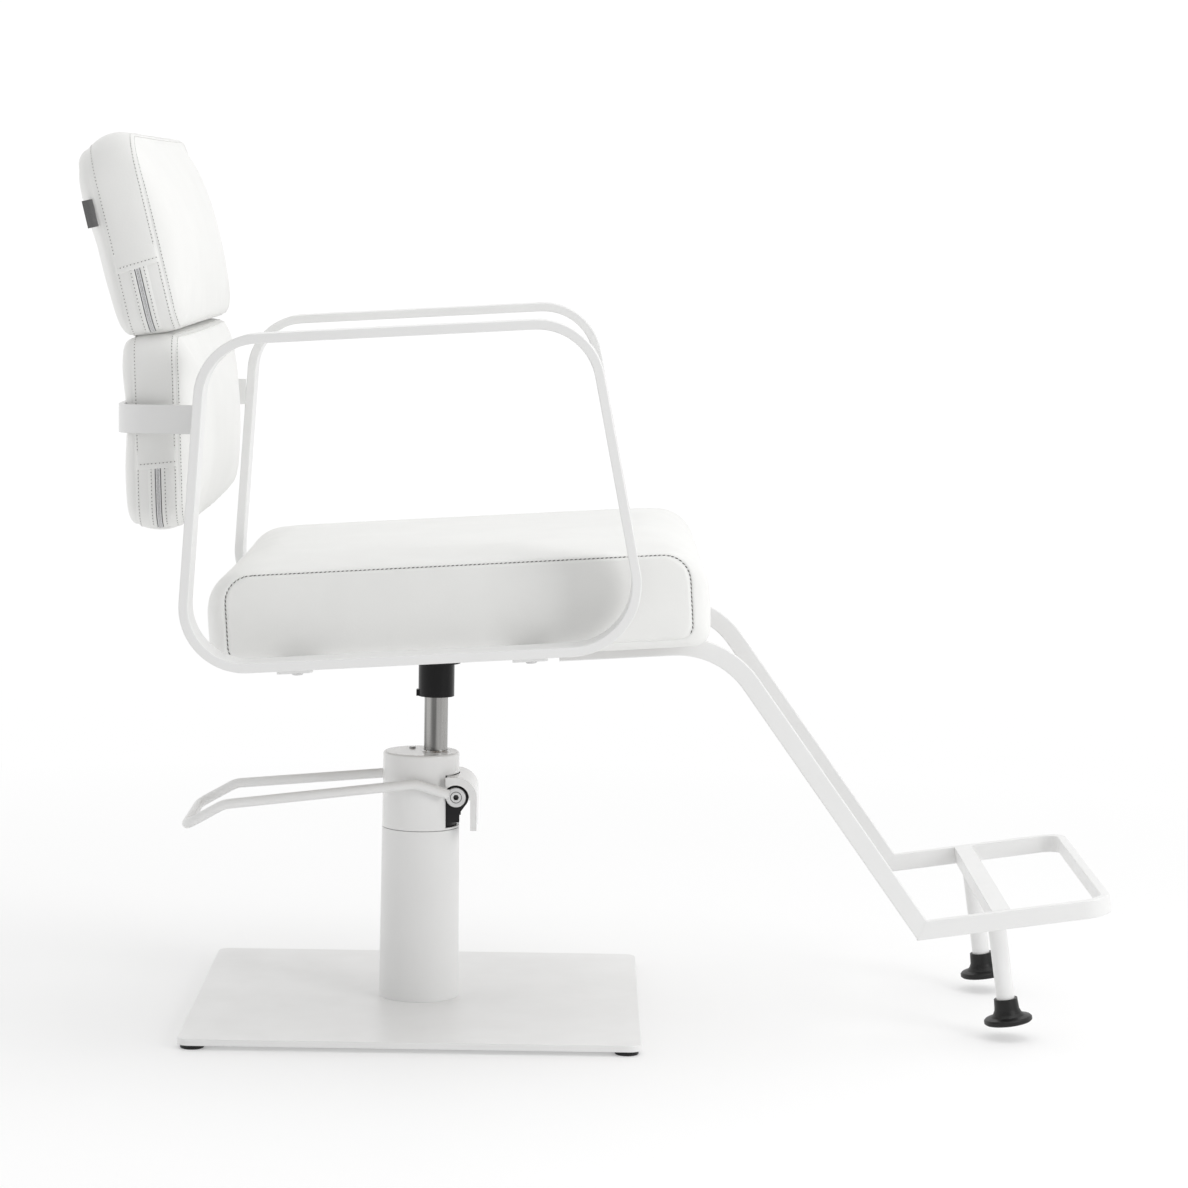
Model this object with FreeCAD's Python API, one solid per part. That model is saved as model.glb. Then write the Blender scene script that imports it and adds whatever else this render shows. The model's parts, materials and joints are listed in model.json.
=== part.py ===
import FreeCAD, Part
import math
import os

# A hydraulic styling chair. Millimetres. +X is the way the client faces, +Y the client's left, +Z up.
# The origin is the point of the floor under the swivel axis, which is the axis of the piston rod.

V = FreeCAD.Vector
X_AXIS = V(1, 0, 0)
Y_AXIS = V(0, 1, 0)
Z_AXIS = V(0, 0, 1)

# ---- driving dimensions -------------------------------------------------------------------------

# base plate and its glides
PLATE_SIDE = 500.0
PLATE_THICK = 7.0
PLATE_CORNER_R = 14.0
GLIDE_R = 13.0
GLIDE_HEIGHT = 5.0
GLIDE_INSET = 16.0
PLATE_TOP = GLIDE_HEIGHT + PLATE_THICK

# column, a slightly tapered tube with a shroud on top; the rod stands in front of its centre
COLUMN_X = -16.0
COLUMN_FOOT_R = 45.15
COLUMN_TAPER = 0.0077
COLUMN_WALL = 3.0
COLUMN_TOP = 206.0
SHROUD_TOP = 292.0
SHROUD_WALL = 2.5
SHROUD_LID = 4.0
SHROUD_SEAM = 0.6
WINDOW_HALF_WIDTH = 32.3
WINDOW_BOTTOM = 209.0
WINDOW_TOP = 268.7
CAP_SCREW_AT = V(-27.0, 20.0, SHROUD_TOP)
CAP_SCREW_R = 2.0
CAP_SCREW_HEAD_R = 3.8

# hydraulic unit
ROD_R = 13.3
RUNNING_GAP = 0.05
ROD_FOOT = 45.0
ROD_TOP = 408.0
CYLINDER_BORE_R = 16.5
CYLINDER_OUTER_R = 20.0
GUIDE_OUTER_R = 15.4
HEAD_R = 40.2
HEAD_BOTTOM = 190.0
HEAD_TOP = 217.5

# foot lever
PIVOT = V(24.7, 0, 244.5)
PIN_R = 6.0
EAR_R = 14.2
EAR_INNER_Y = 22.0
EAR_OUTER_Y = 30.5
PIN_HEAD_R = 11.4
PIN_HEAD_THICK = 5.0
PIN_SOCKET_R = 3.4
PIN_SOCKET_DEPTH = 6.5
PIN_GROOVE_R = 6.6
HOOD_INNER_R = 16.0
HOOD_OUTER_R = 23.5
HOOD_HALF_WIDTH = 42.5
HOOD_CHEEK = 5.0
HOOD_FOOT = 208.0
HOOD_BACK = -12.0
HOOD_CLEAR_OUTSIDE_R = 51.2
HOOD_CLEAR_WINDOW_R = 43.9
HOOD_IN_WINDOW = 31.5
LEVER_BAR_R = 5.5
PLUNGER_AT = V(9.7, 16.0, 0)
PLUNGER_R = 3.0

# seat frame: everything under and round the seat is laid out level and then pitched front-up
SEAT_PITCH = 3.8
SEAT_DATUM_Z = 432.8
LOOP_WIDTH = 50.0
LOOP_THICK = 10.0
LOOP_HEIGHT = 350.0
LOOP_BASE = 500.0
LOOP_LEAN = 7.5
LOOP_CENTRE_X = -10.9
LOOP_SPACING = 645.0
CROSS_WIDTH = 37.0
CROSS_THICK = 3.5
REAR_CROSS_X = -136.0
FRONT_CROSS_X = 109.0
MOUNT_PLATE_THICK = 6.0
MOUNT_PLATE_WIDTH = 120.0
LOOP_BOLT_XS = (REAR_CROSS_X + 2, FRONT_CROSS_X + 1)
PLATE_BOLT_XS = (REAR_CROSS_X, FRONT_CROSS_X)
PLATE_BOLT_Y = 42.0

# seat
SEAT_REAR = -236.0
SEAT_FRONT = 303.0
SEAT_WIDTH = 560.0
SEAT_HEIGHT = 107.0
BOARD_THICK = 12.0

# footrest: rails and frame of one rectangular tube on edge, crossbar of square tube
TUBE = 20.0
TUBE_WIDTH = 10.0
TUBE_WALL = 1.5
TUBE_EDGE_R = 1.4
FOOTREST_WIDTH = 428.0
RAIL_START_X = 138.0
RAIL_CORNER_X = 313.8
RAIL_BEND_R = 96.0
RAIL_DROP = 58.1
RAIL_Y = FOOTREST_WIDTH / 2 - TUBE_WIDTH / 2
RAIL_SCREW_XS = (165.0, 235.0)
FRAME_PITCH = 8.3
FRAME_CORNER = V(539.2, 0, 145.7)
FRAME_LENGTH = 203.0
FRAME_CORNER_R = 31.0
CROSSBAR_AT = 82.5
LEG_R = 10.0
LEG_Y = 128.0
LEG_LENGTH = 113.0
FOOT_HEIGHT = 27.0
FOOT_R = 26.7
FOOT_NECK_R = 13.0
FOOT_SOCKET = 19.0

# back
BACK_WIDTH = 566.0
LOWER_BACK_REAR = -30.0
UPPER_BACK_REAR = -34.0
BACK_FRONT = 42.0
LOWER_BACK_BASE = V(-285.0, 0, 561.0)
LOWER_BACK_HEIGHT = 202.0
LOWER_BACK_LEAN = 2.0
UPPER_BACK_BASE = V(-290.4, 0, 772.0)
UPPER_BACK_HEIGHT = 205.0
UPPER_BACK_LEAN = 13.7
BAND_HEIGHT = 30.0
BAND_THICK = 6.0
BAND_REAR_X = -326.6
BAND_FRONT_X = -243.0
BAND_Z = 664.5
BAND_CORNER_R = 26.0
SPINE_Y = 110.0
SPINE_WIDTH = 30.0
SPINE_THICK = 5.0

# fasteners
M8_R = 4.0
M8_CLEAR_R = 4.3
M8_HEAD_R = 6.2
M8_HEAD_HEIGHT = 3.6


# ---- helpers ------------------------------------------------------------------------------------

def box(x0, x1, y0, y1, z0, z1):
    return Part.makeBox(x1 - x0, y1 - y0, z1 - z0, V(x0, y0, z0))


def rod(radius, start, end):
    return Part.makeCylinder(radius, (end - start).Length, start, end - start)


def ring(outer_r, inner_r, start, end):
    return rod(outer_r, start, end).cut(rod(inner_r, start, end))


def rounded_wire(points, radii, closed=True):
    """Straight runs joined by tangent arcs; radii has one value per point, 0 for a sharp corner."""
    count = len(points)
    stations = []
    for i, (point, radius) in enumerate(zip(points, radii)):
        at_end = not closed and i in (0, count - 1)
        if at_end or radius == 0:
            stations.append((point, None, point))
            continue
        to_last = (points[i - 1] - point).normalize()
        to_next = (points[(i + 1) % count] - point).normalize()
        half_angle = to_last.getAngle(to_next) / 2
        reach = radius / math.tan(half_angle)
        bisector = (to_last + to_next).normalize()
        middle = point + bisector * (radius / math.sin(half_angle) - radius)
        stations.append((point + to_last * reach, middle, point + to_next * reach))
    edges = []
    for i, (start, middle, end) in enumerate(stations):
        if middle is not None:
            edges.append(Part.Arc(start, middle, end).toShape())
        if closed or i < count - 1:
            edges.append(Part.makeLine(end, stations[(i + 1) % count][0]))
    return Part.Wire(edges)


def side_plate(points, radii, y0, y1):
    """A plate whose outline lies in the XZ plane, from y0 to y1."""
    wire = rounded_wire([V(x, y0, z) for x, z in points], radii)
    return Part.Face(wire).extrude(V(0, y1 - y0, 0))


def turned(shape, degrees, about=V(0, 0, 0), axis=Y_AXIS):
    copy = shape.copy()
    copy.rotate(about, axis, degrees)
    return copy


def moved(shape, offset):
    copy = shape.copy()
    copy.translate(offset)
    return copy


def mirrored(shape):
    """The same shape on the other side of the chair."""
    return shape.mirror(V(0, 0, 0), Y_AXIS)


def both_sides(shape):
    return [shape, mirrored(shape)]


def seated(shape):
    """Pitch a level seat-frame shape front-up and lift it to its height over the floor."""
    return moved(turned(shape, -SEAT_PITCH), V(0, 0, SEAT_DATUM_Z))


def fused(shapes):
    result = shapes[0]
    for shape in shapes[1:]:
        result = result.fuse(shape)
    return result.removeSplitter()


def softened(shape, radius):
    """Round the long edges of a flat bar that is bent in the XZ plane."""
    return shape.makeFillet(radius, [e for e in shape.Edges if e.BoundBox.YLength < 0.1])


def column_r(z):
    return COLUMN_FOOT_R - COLUMN_TAPER * (z - PLATE_TOP)


def column_cone(inset, z0, z1):
    return Part.makeCone(column_r(z0) - inset, column_r(z1) - inset, z1 - z0, V(COLUMN_X, 0, z0))


def save(name, shapes):
    """Write one node; a list makes a group of separate solids in the same node."""
    if not isinstance(shapes, list):
        shapes = [shapes]
    solids = [solid for shape in shapes for solid in shape.Solids]
    assert solids and all(solid.isValid() for solid in solids), name
    shape = solids[0] if len(solids) == 1 else Part.Compound(solids)
    shape.exportStep("parts/" + name + ".step")
    extent = shape.BoundBox
    print("%-22s %2d  x %7.1f %7.1f  y %7.1f %7.1f  z %7.1f %7.1f" % (
        name, len(solids), extent.XMin, extent.XMax, extent.YMin, extent.YMax, extent.ZMin, extent.ZMax))


# ---- base ---------------------------------------------------------------------------------------

BASE_SCREW_RADIUS = 30.0
CSK_HEAD_R = 8.0
CSK_DEPTH = 4.0
FLANGE_THICK = 10.0


def base_screw_places():
    for i in range(4):
        angle = math.radians(45 + 90 * i)
        yield V(COLUMN_X + BASE_SCREW_RADIUS * math.cos(angle), BASE_SCREW_RADIUS * math.sin(angle), 0)


def countersunk_screw(place, shank_r, length):
    head = Part.makeCone(CSK_HEAD_R, M8_R, CSK_DEPTH, place + V(0, 0, GLIDE_HEIGHT + 0.5))
    shank = rod(shank_r, place + V(0, 0, GLIDE_HEIGHT + 1), place + V(0, 0, GLIDE_HEIGHT + length))
    return fused([head, shank])


def base_plate():
    half = PLATE_SIDE / 2
    plate = box(COLUMN_X - half, COLUMN_X + half, -half, half, GLIDE_HEIGHT, PLATE_TOP)
    plate = plate.makeFillet(PLATE_CORNER_R, [e for e in plate.Edges if abs(e.tangentAt(0).z) > 0.9])
    plate = plate.makeFillet(1.2, [e for e in plate.Edges if e.BoundBox.ZMin > PLATE_TOP - 0.1])
    for place in base_screw_places():
        plate = plate.cut(rod(M8_CLEAR_R, place, place + V(0, 0, PLATE_TOP + 1)))
        mouth_top = place + V(0, 0, GLIDE_HEIGHT + 0.4)
        sink = Part.makeCone(CSK_HEAD_R + 0.6, M8_CLEAR_R, CSK_DEPTH + 0.2, mouth_top)
        mouth = rod(CSK_HEAD_R + 0.6, place + V(0, 0, GLIDE_HEIGHT), mouth_top)
        plate = plate.cut(sink).cut(mouth)
    return plate


def glides():
    reach = PLATE_SIDE / 2 - GLIDE_INSET
    result = []
    for sx in (-1, 1):
        for sy in (-1, 1):
            centre = V(COLUMN_X + sx * reach, sy * reach, 0)
            disc = rod(GLIDE_R, centre, centre + V(0, 0, GLIDE_HEIGHT))
            result.append(disc.makeChamfer(0.8, [e for e in disc.Edges if e.BoundBox.ZMax < 0.1]))
    return result


def column_tube():
    return column_cone(0, PLATE_TOP, COLUMN_TOP).cut(column_cone(COLUMN_WALL, PLATE_TOP, COLUMN_TOP))


def column_flange():
    top = PLATE_TOP + FLANGE_THICK
    disc = rod(column_r(top) - COLUMN_WALL, V(COLUMN_X, 0, PLATE_TOP), V(COLUMN_X, 0, top))
    for place in base_screw_places():
        disc = disc.cut(rod(M8_R, place, place + V(0, 0, top + 1)))
    return disc


def column_shroud():
    """A cap on top of the column, a hair above it, with a window in front for the lever."""
    bottom = COLUMN_TOP + SHROUD_SEAM
    outer = column_cone(0, bottom, SHROUD_TOP)
    outer = outer.makeFillet(3.0, [e for e in outer.Edges if e.BoundBox.ZMin > SHROUD_TOP - 0.1])
    shell = outer.cut(column_cone(SHROUD_WALL, bottom, SHROUD_TOP - SHROUD_LID))
    window = box(0, 60, -WINDOW_HALF_WIDTH, WINDOW_HALF_WIDTH, WINDOW_BOTTOM, WINDOW_TOP)
    rod_hole = rod(CYLINDER_BORE_R, V(0, 0, bottom), V(0, 0, SHROUD_TOP + 1))
    screw_hole = rod(CAP_SCREW_R, CAP_SCREW_AT - Z_AXIS * (SHROUD_LID + 1), CAP_SCREW_AT)
    return shell.cut(window).cut(rod_hole).cut(screw_hole)


def cap_screw():
    head = rod(CAP_SCREW_HEAD_R, CAP_SCREW_AT, CAP_SCREW_AT + V(0, 0, 1.8))
    head = head.makeFillet(0.8, [e for e in head.Edges if e.BoundBox.ZMin > SHROUD_TOP + 1.7])
    slot = box(-3.2, 3.2, -0.5, 0.5, 0.9, 3)
    shank = rod(CAP_SCREW_R, CAP_SCREW_AT + V(0, 0, -7), CAP_SCREW_AT)
    return fused([head, shank]).cut(moved(slot, CAP_SCREW_AT))


def wiper_ring():
    body = rod(CYLINDER_BORE_R, V(0, 0, SHROUD_TOP - SHROUD_LID), V(0, 0, SHROUD_TOP))
    lip = Part.makeCone(15.8, 14.6, 1.8, V(0, 0, SHROUD_TOP))
    bore = rod(ROD_R + RUNNING_GAP, V(0, 0, 280), V(0, 0, 300))
    return fused([body, lip]).cut(bore)


# ---- hydraulic unit -----------------------------------------------------------------------------

def pump_cylinder():
    return ring(CYLINDER_OUTER_R, CYLINDER_BORE_R, V(0, 0, PLATE_TOP + FLANGE_THICK), V(0, 0, HEAD_BOTTOM))


def rod_guide():
    return ring(GUIDE_OUTER_R, ROD_R + RUNNING_GAP, V(0, 0, HEAD_BOTTOM), V(0, 0, HEAD_TOP))


def pump_head():
    block = rod(HEAD_R, V(COLUMN_X, 0, HEAD_BOTTOM), V(COLUMN_X, 0, HEAD_TOP))
    px, pz = PIVOT.x, PIVOT.z
    web = [(11, HEAD_TOP - 2), (28.5, HEAD_TOP - 2), (28.5, 225.5), (px + 12.4, pz - 7), (px, pz), (11, pz)]
    ear = side_plate(web, [0] * 6, EAR_INNER_Y, EAR_OUTER_Y)
    ear = ear.fuse(rod(EAR_R, V(px, EAR_INNER_Y, pz), V(px, EAR_OUTER_Y, pz)))
    head = fused([block] + both_sides(ear))
    head = head.cut(rod(GUIDE_OUTER_R, V(0, 0, 180), V(0, 0, 230)))
    head = head.cut(rod(PLUNGER_R + RUNNING_GAP, PLUNGER_AT + V(0, 0, 180), PLUNGER_AT + V(0, 0, 230)))
    return head.cut(rod(PIN_R, PIVOT - Y_AXIS * 40, PIVOT + Y_AXIS * 40))


def pivot_pin():
    """A pin with a washer-like head, a turned groove and a hexagon socket."""
    near = PIVOT - Y_AXIS * EAR_OUTER_Y
    face = near - Y_AXIS * PIN_HEAD_THICK
    head = rod(PIN_HEAD_R, face, near)
    head = head.makeFillet(1.0, [e for e in head.Edges if e.BoundBox.YMax < face.y + 0.1])
    groove = ring(PIN_GROOVE_R, PIN_GROOVE_R - 0.8, face, face + Y_AXIS * 0.8)
    shank = rod(PIN_R, near, PIVOT + Y_AXIS * (EAR_OUTER_Y + PIN_HEAD_THICK))
    turns = [math.radians(60 * i) for i in range(7)]
    corners = [face + V(PIN_SOCKET_R * math.cos(t), 0, PIN_SOCKET_R * math.sin(t)) for t in turns]
    socket = Part.Face(Part.makePolygon(corners)).extrude(Y_AXIS * PIN_SOCKET_DEPTH)
    return fused([head, shank]).cut(socket).cut(groove)


def pivot_nut():
    far = PIVOT + Y_AXIS * EAR_OUTER_Y
    return ring(PIN_HEAD_R, PIN_R, far, far + Y_AXIS * PIN_HEAD_THICK)


PLUNGER_FOOT = 198.0
PLUNGER_TIP = PIVOT.z - 6.7
COLLAR_Z = 230.5
COLLAR_THICK = 2.0
SPRING_R = 4.0
SPRING_WIRE_R = 0.6
SPRING_TURNS = 5


def pump_plunger():
    stem = rod(PLUNGER_R, PLUNGER_AT + V(0, 0, PLUNGER_FOOT), PLUNGER_AT + V(0, 0, PLUNGER_TIP))
    stem = stem.makeFillet(1.2, [e for e in stem.Edges if e.BoundBox.ZMin > PLUNGER_TIP - 0.1])
    collar = rod(4.6, PLUNGER_AT + V(0, 0, COLLAR_Z), PLUNGER_AT + V(0, 0, COLLAR_Z + COLLAR_THICK))
    return fused([stem, collar])


def plunger_spring():
    height = COLLAR_Z - HEAD_TOP - 2 * SPRING_WIRE_R - 0.6
    helix = Part.makeHelix(height / SPRING_TURNS, height, SPRING_R)
    start = V(SPRING_R, 0, 0)
    section = Part.Wire(Part.makeCircle(SPRING_WIRE_R, start, Y_AXIS))
    coil = Part.Wire(helix).makePipeShell([section], True, True)
    return moved(coil, PLUNGER_AT + V(0, 0, HEAD_TOP + SPRING_WIRE_R + 0.3))


def piston_rod():
    shaft = rod(ROD_R, V(0, 0, ROD_FOOT), V(0, 0, ROD_TOP))
    return shaft.makeChamfer(1.5, [e for e in shaft.Edges if e.BoundBox.ZMin > ROD_TOP - 0.1])


def piston_head():
    return rod(CYLINDER_BORE_R - RUNNING_GAP, V(0, 0, ROD_FOOT - 15), V(0, 0, ROD_FOOT))


# ---- foot lever ---------------------------------------------------------------------------------

HUB_R = 9.0
HUB_HALF = 21.5
NOSE_REACH = 19.0
NOSE_DROP = 6.0
PEDAL_X = -274.0
PEDAL_Z = 215.7
PEDAL_KNEE_X = -232.0
PEDAL_KNEE_Z = 239.5
PEDAL_HALF = 78.0
ARM_SHOULDER = V(-20.0, 52.0, 261.5)
ARM_END = V(16.5, 46.8, 249.4)


def lever_hub():
    hub = rod(HUB_R, PIVOT - Y_AXIS * HUB_HALF, PIVOT + Y_AXIS * HUB_HALF)
    rib = box(PIVOT.x - 4, PIVOT.x + 4, -10, 10, PIVOT.z + 7, PIVOT.z + 30)
    rib = rib.common(rod(HOOD_INNER_R, PIVOT - Y_AXIS * 12, PIVOT + Y_AXIS * 12))
    nose = box(PIVOT.x - NOSE_REACH, PIVOT.x, 13, 19, PIVOT.z - NOSE_DROP, PIVOT.z + 3)
    bore = rod(PIN_R + RUNNING_GAP, PIVOT - Y_AXIS * 40, PIVOT + Y_AXIS * 40)
    return fused([hub, rib, nose]).cut(bore)


def lever_hood():
    """A bent cover over the pivot. It reaches in through the shroud's window, and its cheeks stand
    far enough off the column to clear it over the whole stroke."""
    px, pz = PIVOT.x, PIVOT.z
    outer, inner = HOOD_OUTER_R, HOOD_INNER_R
    profile = [(HOOD_BACK, pz + outer), (px + outer, pz + outer), (px + outer, HOOD_FOOT),
               (px + inner + 0.7, HOOD_FOOT), (px + inner, pz + inner), (HOOD_BACK, pz + inner)]
    hood = side_plate(profile, [0, outer, 0, 0, inner, 0], -HOOD_HALF_WIDTH, HOOD_HALF_WIDTH)
    cheek_outline = [(HOOD_BACK, pz + outer), (px + outer, pz + outer), (px + outer, pz - 2),
                     (px - EAR_R, pz - 1.5), (HOOD_BACK, pz + 8)]
    cheek = side_plate(cheek_outline, [0, outer, 0, 0, 0], HOOD_HALF_WIDTH - HOOD_CHEEK, HOOD_HALF_WIDTH)
    arch = rod(EAR_R + 0.6, PIVOT - Y_AXIS * 60, PIVOT + Y_AXIS * 60)
    throat = box(px - 10, px + EAR_R + 0.6, -60, 60, pz - 20, pz)
    hood = fused([hood] + [side.cut(arch).cut(throat) for side in both_sides(cheek)])

    def column_clear(radius):
        return rod(radius, V(COLUMN_X, 0, HOOD_FOOT - 10), V(COLUMN_X, 0, SHROUD_TOP))

    in_window = box(-60, 80, -HOOD_IN_WINDOW, HOOD_IN_WINDOW, HOOD_FOOT - 10, SHROUD_TOP)
    inside = hood.common(in_window).cut(column_clear(HOOD_CLEAR_WINDOW_R))
    return fused([hood.cut(column_clear(HOOD_CLEAR_OUTSIDE_R)), inside])


def lever_bar():
    """A round bar bent into a loop: down one arm, across the pedal and back up the other."""
    knee = V(PEDAL_KNEE_X, PEDAL_HALF - 1, PEDAL_KNEE_Z)
    side = [ARM_END, ARM_SHOULDER, knee, V(PEDAL_X, PEDAL_HALF, PEDAL_Z)]
    other = [V(p.x, -p.y, p.z) for p in reversed(side)]
    path = rounded_wire(side + other, [0, 26, 30, 13, 13, 30, 26, 0], closed=False)
    section = Part.Wire(Part.makeCircle(LEVER_BAR_R, ARM_END, ARM_SHOULDER - ARM_END))
    return path.makePipeShell([section], True, False).cut(lever_hood())


# ---- seat frame ---------------------------------------------------------------------------------

def arm_loop(side):
    """Flat bar bent into a closed trapezoid with rounded corners; side is -1 right, 1 left."""
    y0 = side * LOOP_SPACING / 2 - LOOP_WIDTH / 2
    lean = math.radians(LOOP_LEAN)

    def outline(inset):
        def half_at(z):
            return LOOP_BASE / 2 - z * math.tan(lean) - inset / math.cos(lean)
        low, high = inset, LOOP_HEIGHT - inset
        corners = [(-half_at(low), low), (half_at(low), low), (half_at(high), high), (-half_at(high), high)]
        points = [V(LOOP_CENTRE_X + x, y0, z) for x, z in corners]
        return rounded_wire(points, [r - inset for r in (68, 75, 70, 68)])

    loop = Part.Face(outline(0)).extrude(V(0, LOOP_WIDTH, 0))
    loop = loop.cut(Part.Face(outline(LOOP_THICK)).extrude(V(0, LOOP_WIDTH, 0)))
    loop = softened(loop, 1.2)
    for x in LOOP_BOLT_XS:
        start = V(x, side * LOOP_SPACING / 2, -1)
        loop = loop.cut(rod(M8_R, start, start + V(0, 0, 9)))
    return seated(loop)


def head_bolt(place, under_head, length):
    """A button-head bolt pointing up, its head under the level given."""
    base = V(place.x, place.y, under_head)
    head = rod(M8_HEAD_R, base - Z_AXIS * M8_HEAD_HEIGHT, base)
    bottom = under_head - M8_HEAD_HEIGHT
    head = head.makeFillet(2.0, [e for e in head.Edges if e.BoundBox.ZMax < bottom + 0.1])
    drive = rod(2.3, base - Z_AXIS * (M8_HEAD_HEIGHT + 1), base - Z_AXIS * (M8_HEAD_HEIGHT - 2))
    return fused([head, rod(M8_R, base, base + Z_AXIS * length)]).cut(drive)


def cross_plate(x):
    reach = LOOP_SPACING / 2 + LOOP_WIDTH / 2 - 7
    plate = box(x - CROSS_WIDTH / 2, x + CROSS_WIDTH / 2, -reach, reach, -CROSS_THICK, 0)
    plate = plate.makeFillet(4, [e for e in plate.Edges if e.BoundBox.ZLength > 1])
    loop_x = LOOP_BOLT_XS[0] if x < 0 else LOOP_BOLT_XS[1]
    places = [V(loop_x, s * LOOP_SPACING / 2, 0) for s in (-1, 1)]
    places += [V(x, s * PLATE_BOLT_Y, 0) for s in (-1, 1)]
    for place in places:
        plate = plate.cut(rod(M8_CLEAR_R, place - Z_AXIS * 20, place + Z_AXIS * 20))
    return seated(plate)


def mount_plate():
    bottom = -CROSS_THICK - MOUNT_PLATE_THICK
    x0, x1 = REAR_CROSS_X - CROSS_WIDTH / 2, FRONT_CROSS_X + CROSS_WIDTH / 2
    plate = box(x0, x1, -MOUNT_PLATE_WIDTH / 2, MOUNT_PLATE_WIDTH / 2, bottom, -CROSS_THICK)
    plate = plate.makeFillet(10, [e for e in plate.Edges if e.BoundBox.ZLength > 1])
    for x in PLATE_BOLT_XS:
        for s in (-1, 1):
            place = V(x, s * PLATE_BOLT_Y, 0)
            plate = plate.cut(rod(M8_CLEAR_R, place - Z_AXIS * 20, place + Z_AXIS * 20))
    return seated(plate)


def loop_bolts():
    places = [V(x, s * LOOP_SPACING / 2, 0) for x in LOOP_BOLT_XS for s in (-1, 1)]
    return [seated(head_bolt(place, -CROSS_THICK, CROSS_THICK + 7)) for place in places]


def plate_bolts():
    under = -CROSS_THICK - MOUNT_PLATE_THICK
    places = [V(x, s * PLATE_BOLT_Y, 0) for x in PLATE_BOLT_XS for s in (-1, 1)]
    return [seated(head_bolt(place, under, -under + 9)) for place in places]


SOCKET_R = 18.0
SOCKET_BOTTOM = 358.0
COVER_R = 20.25
COVER_BOTTOM = 355.0
COVER_MOUTH_R = 15.0
COLLAR_BOTTOM = 392.5
COLLAR_R = 27.0
COLLAR_THICK_AT_SOCKET = 5.0
BOSS_R = 24.0
BOSS_TOP = 440.0


def taper_socket():
    neck = rod(SOCKET_R, V(0, 0, SOCKET_BOTTOM), V(0, 0, COLLAR_BOTTOM))
    collar = rod(COLLAR_R, V(0, 0, COLLAR_BOTTOM), V(0, 0, COLLAR_BOTTOM + COLLAR_THICK_AT_SOCKET))
    boss = rod(BOSS_R, V(0, 0, COLLAR_BOTTOM), V(0, 0, BOSS_TOP))
    above_plate = box(-100, 100, -100, 100, -CROSS_THICK - MOUNT_PLATE_THICK, 100)
    body = fused([neck, collar, boss]).cut(seated(above_plate))
    return body.cut(rod(ROD_R + RUNNING_GAP, V(0, 0, SOCKET_BOTTOM - 1), V(0, 0, ROD_TOP + 1)))


def socket_cover():
    sleeve = ring(COVER_R, SOCKET_R, V(0, 0, SOCKET_BOTTOM), V(0, 0, COLLAR_BOTTOM))
    skirt = ring(COVER_R, COVER_MOUTH_R, V(0, 0, COVER_BOTTOM), V(0, 0, SOCKET_BOTTOM))
    tab = box(-COVER_R - 2.2, -COVER_R + 1.5, -5, 5, COVER_BOTTOM, COVER_BOTTOM + 7)
    return fused([sleeve, skirt, tab.cut(rod(SOCKET_R, V(0, 0, 300), V(0, 0, 400)))])


# ---- seat ---------------------------------------------------------------------------------------

BOARD_REAR = SEAT_REAR + 28
BOARD_FRONT = SEAT_FRONT - 28
BOARD_HALF = SEAT_WIDTH / 2 - 18
SCREW_R = 2.0
SCREW_HEAD_R = 3.3
SCREW_ACCESS_R = 3.6


def seat_board():
    board = box(BOARD_REAR, BOARD_FRONT, -BOARD_HALF, BOARD_HALF, 0, BOARD_THICK)
    board = board.makeFillet(30, [e for e in board.Edges if e.BoundBox.ZLength > 1])
    for x in PLATE_BOLT_XS:
        for s in (-1, 1):
            board = board.cut(rod(M8_R, V(x, s * PLATE_BOLT_Y, -1), V(x, s * PLATE_BOLT_Y, 9)))
    for x in RAIL_SCREW_XS:
        for s in (-1, 1):
            board = board.cut(rod(SCREW_R, V(x, s * RAIL_Y, -1), V(x, s * RAIL_Y, 10)))
    return board


def seat_cushion():
    outline = [(SEAT_REAR, 0), (SEAT_FRONT, 0), (SEAT_FRONT, SEAT_HEIGHT), (SEAT_REAR, SEAT_HEIGHT)]
    half = SEAT_WIDTH / 2
    block = side_plate(outline, [18, 18, 42, 42], -half, half)
    ends = [e for e in block.Edges if e.BoundBox.YLength < 0.1]
    block = block.makeFillet(9, ends)
    recess = box(BOARD_REAR, BOARD_FRONT, -BOARD_HALF, BOARD_HALF, -1, BOARD_THICK)
    recess = recess.makeFillet(30, [e for e in recess.Edges if e.BoundBox.ZLength > 1])
    return seated(block.cut(recess))


# ---- footrest -----------------------------------------------------------------------------------

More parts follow.
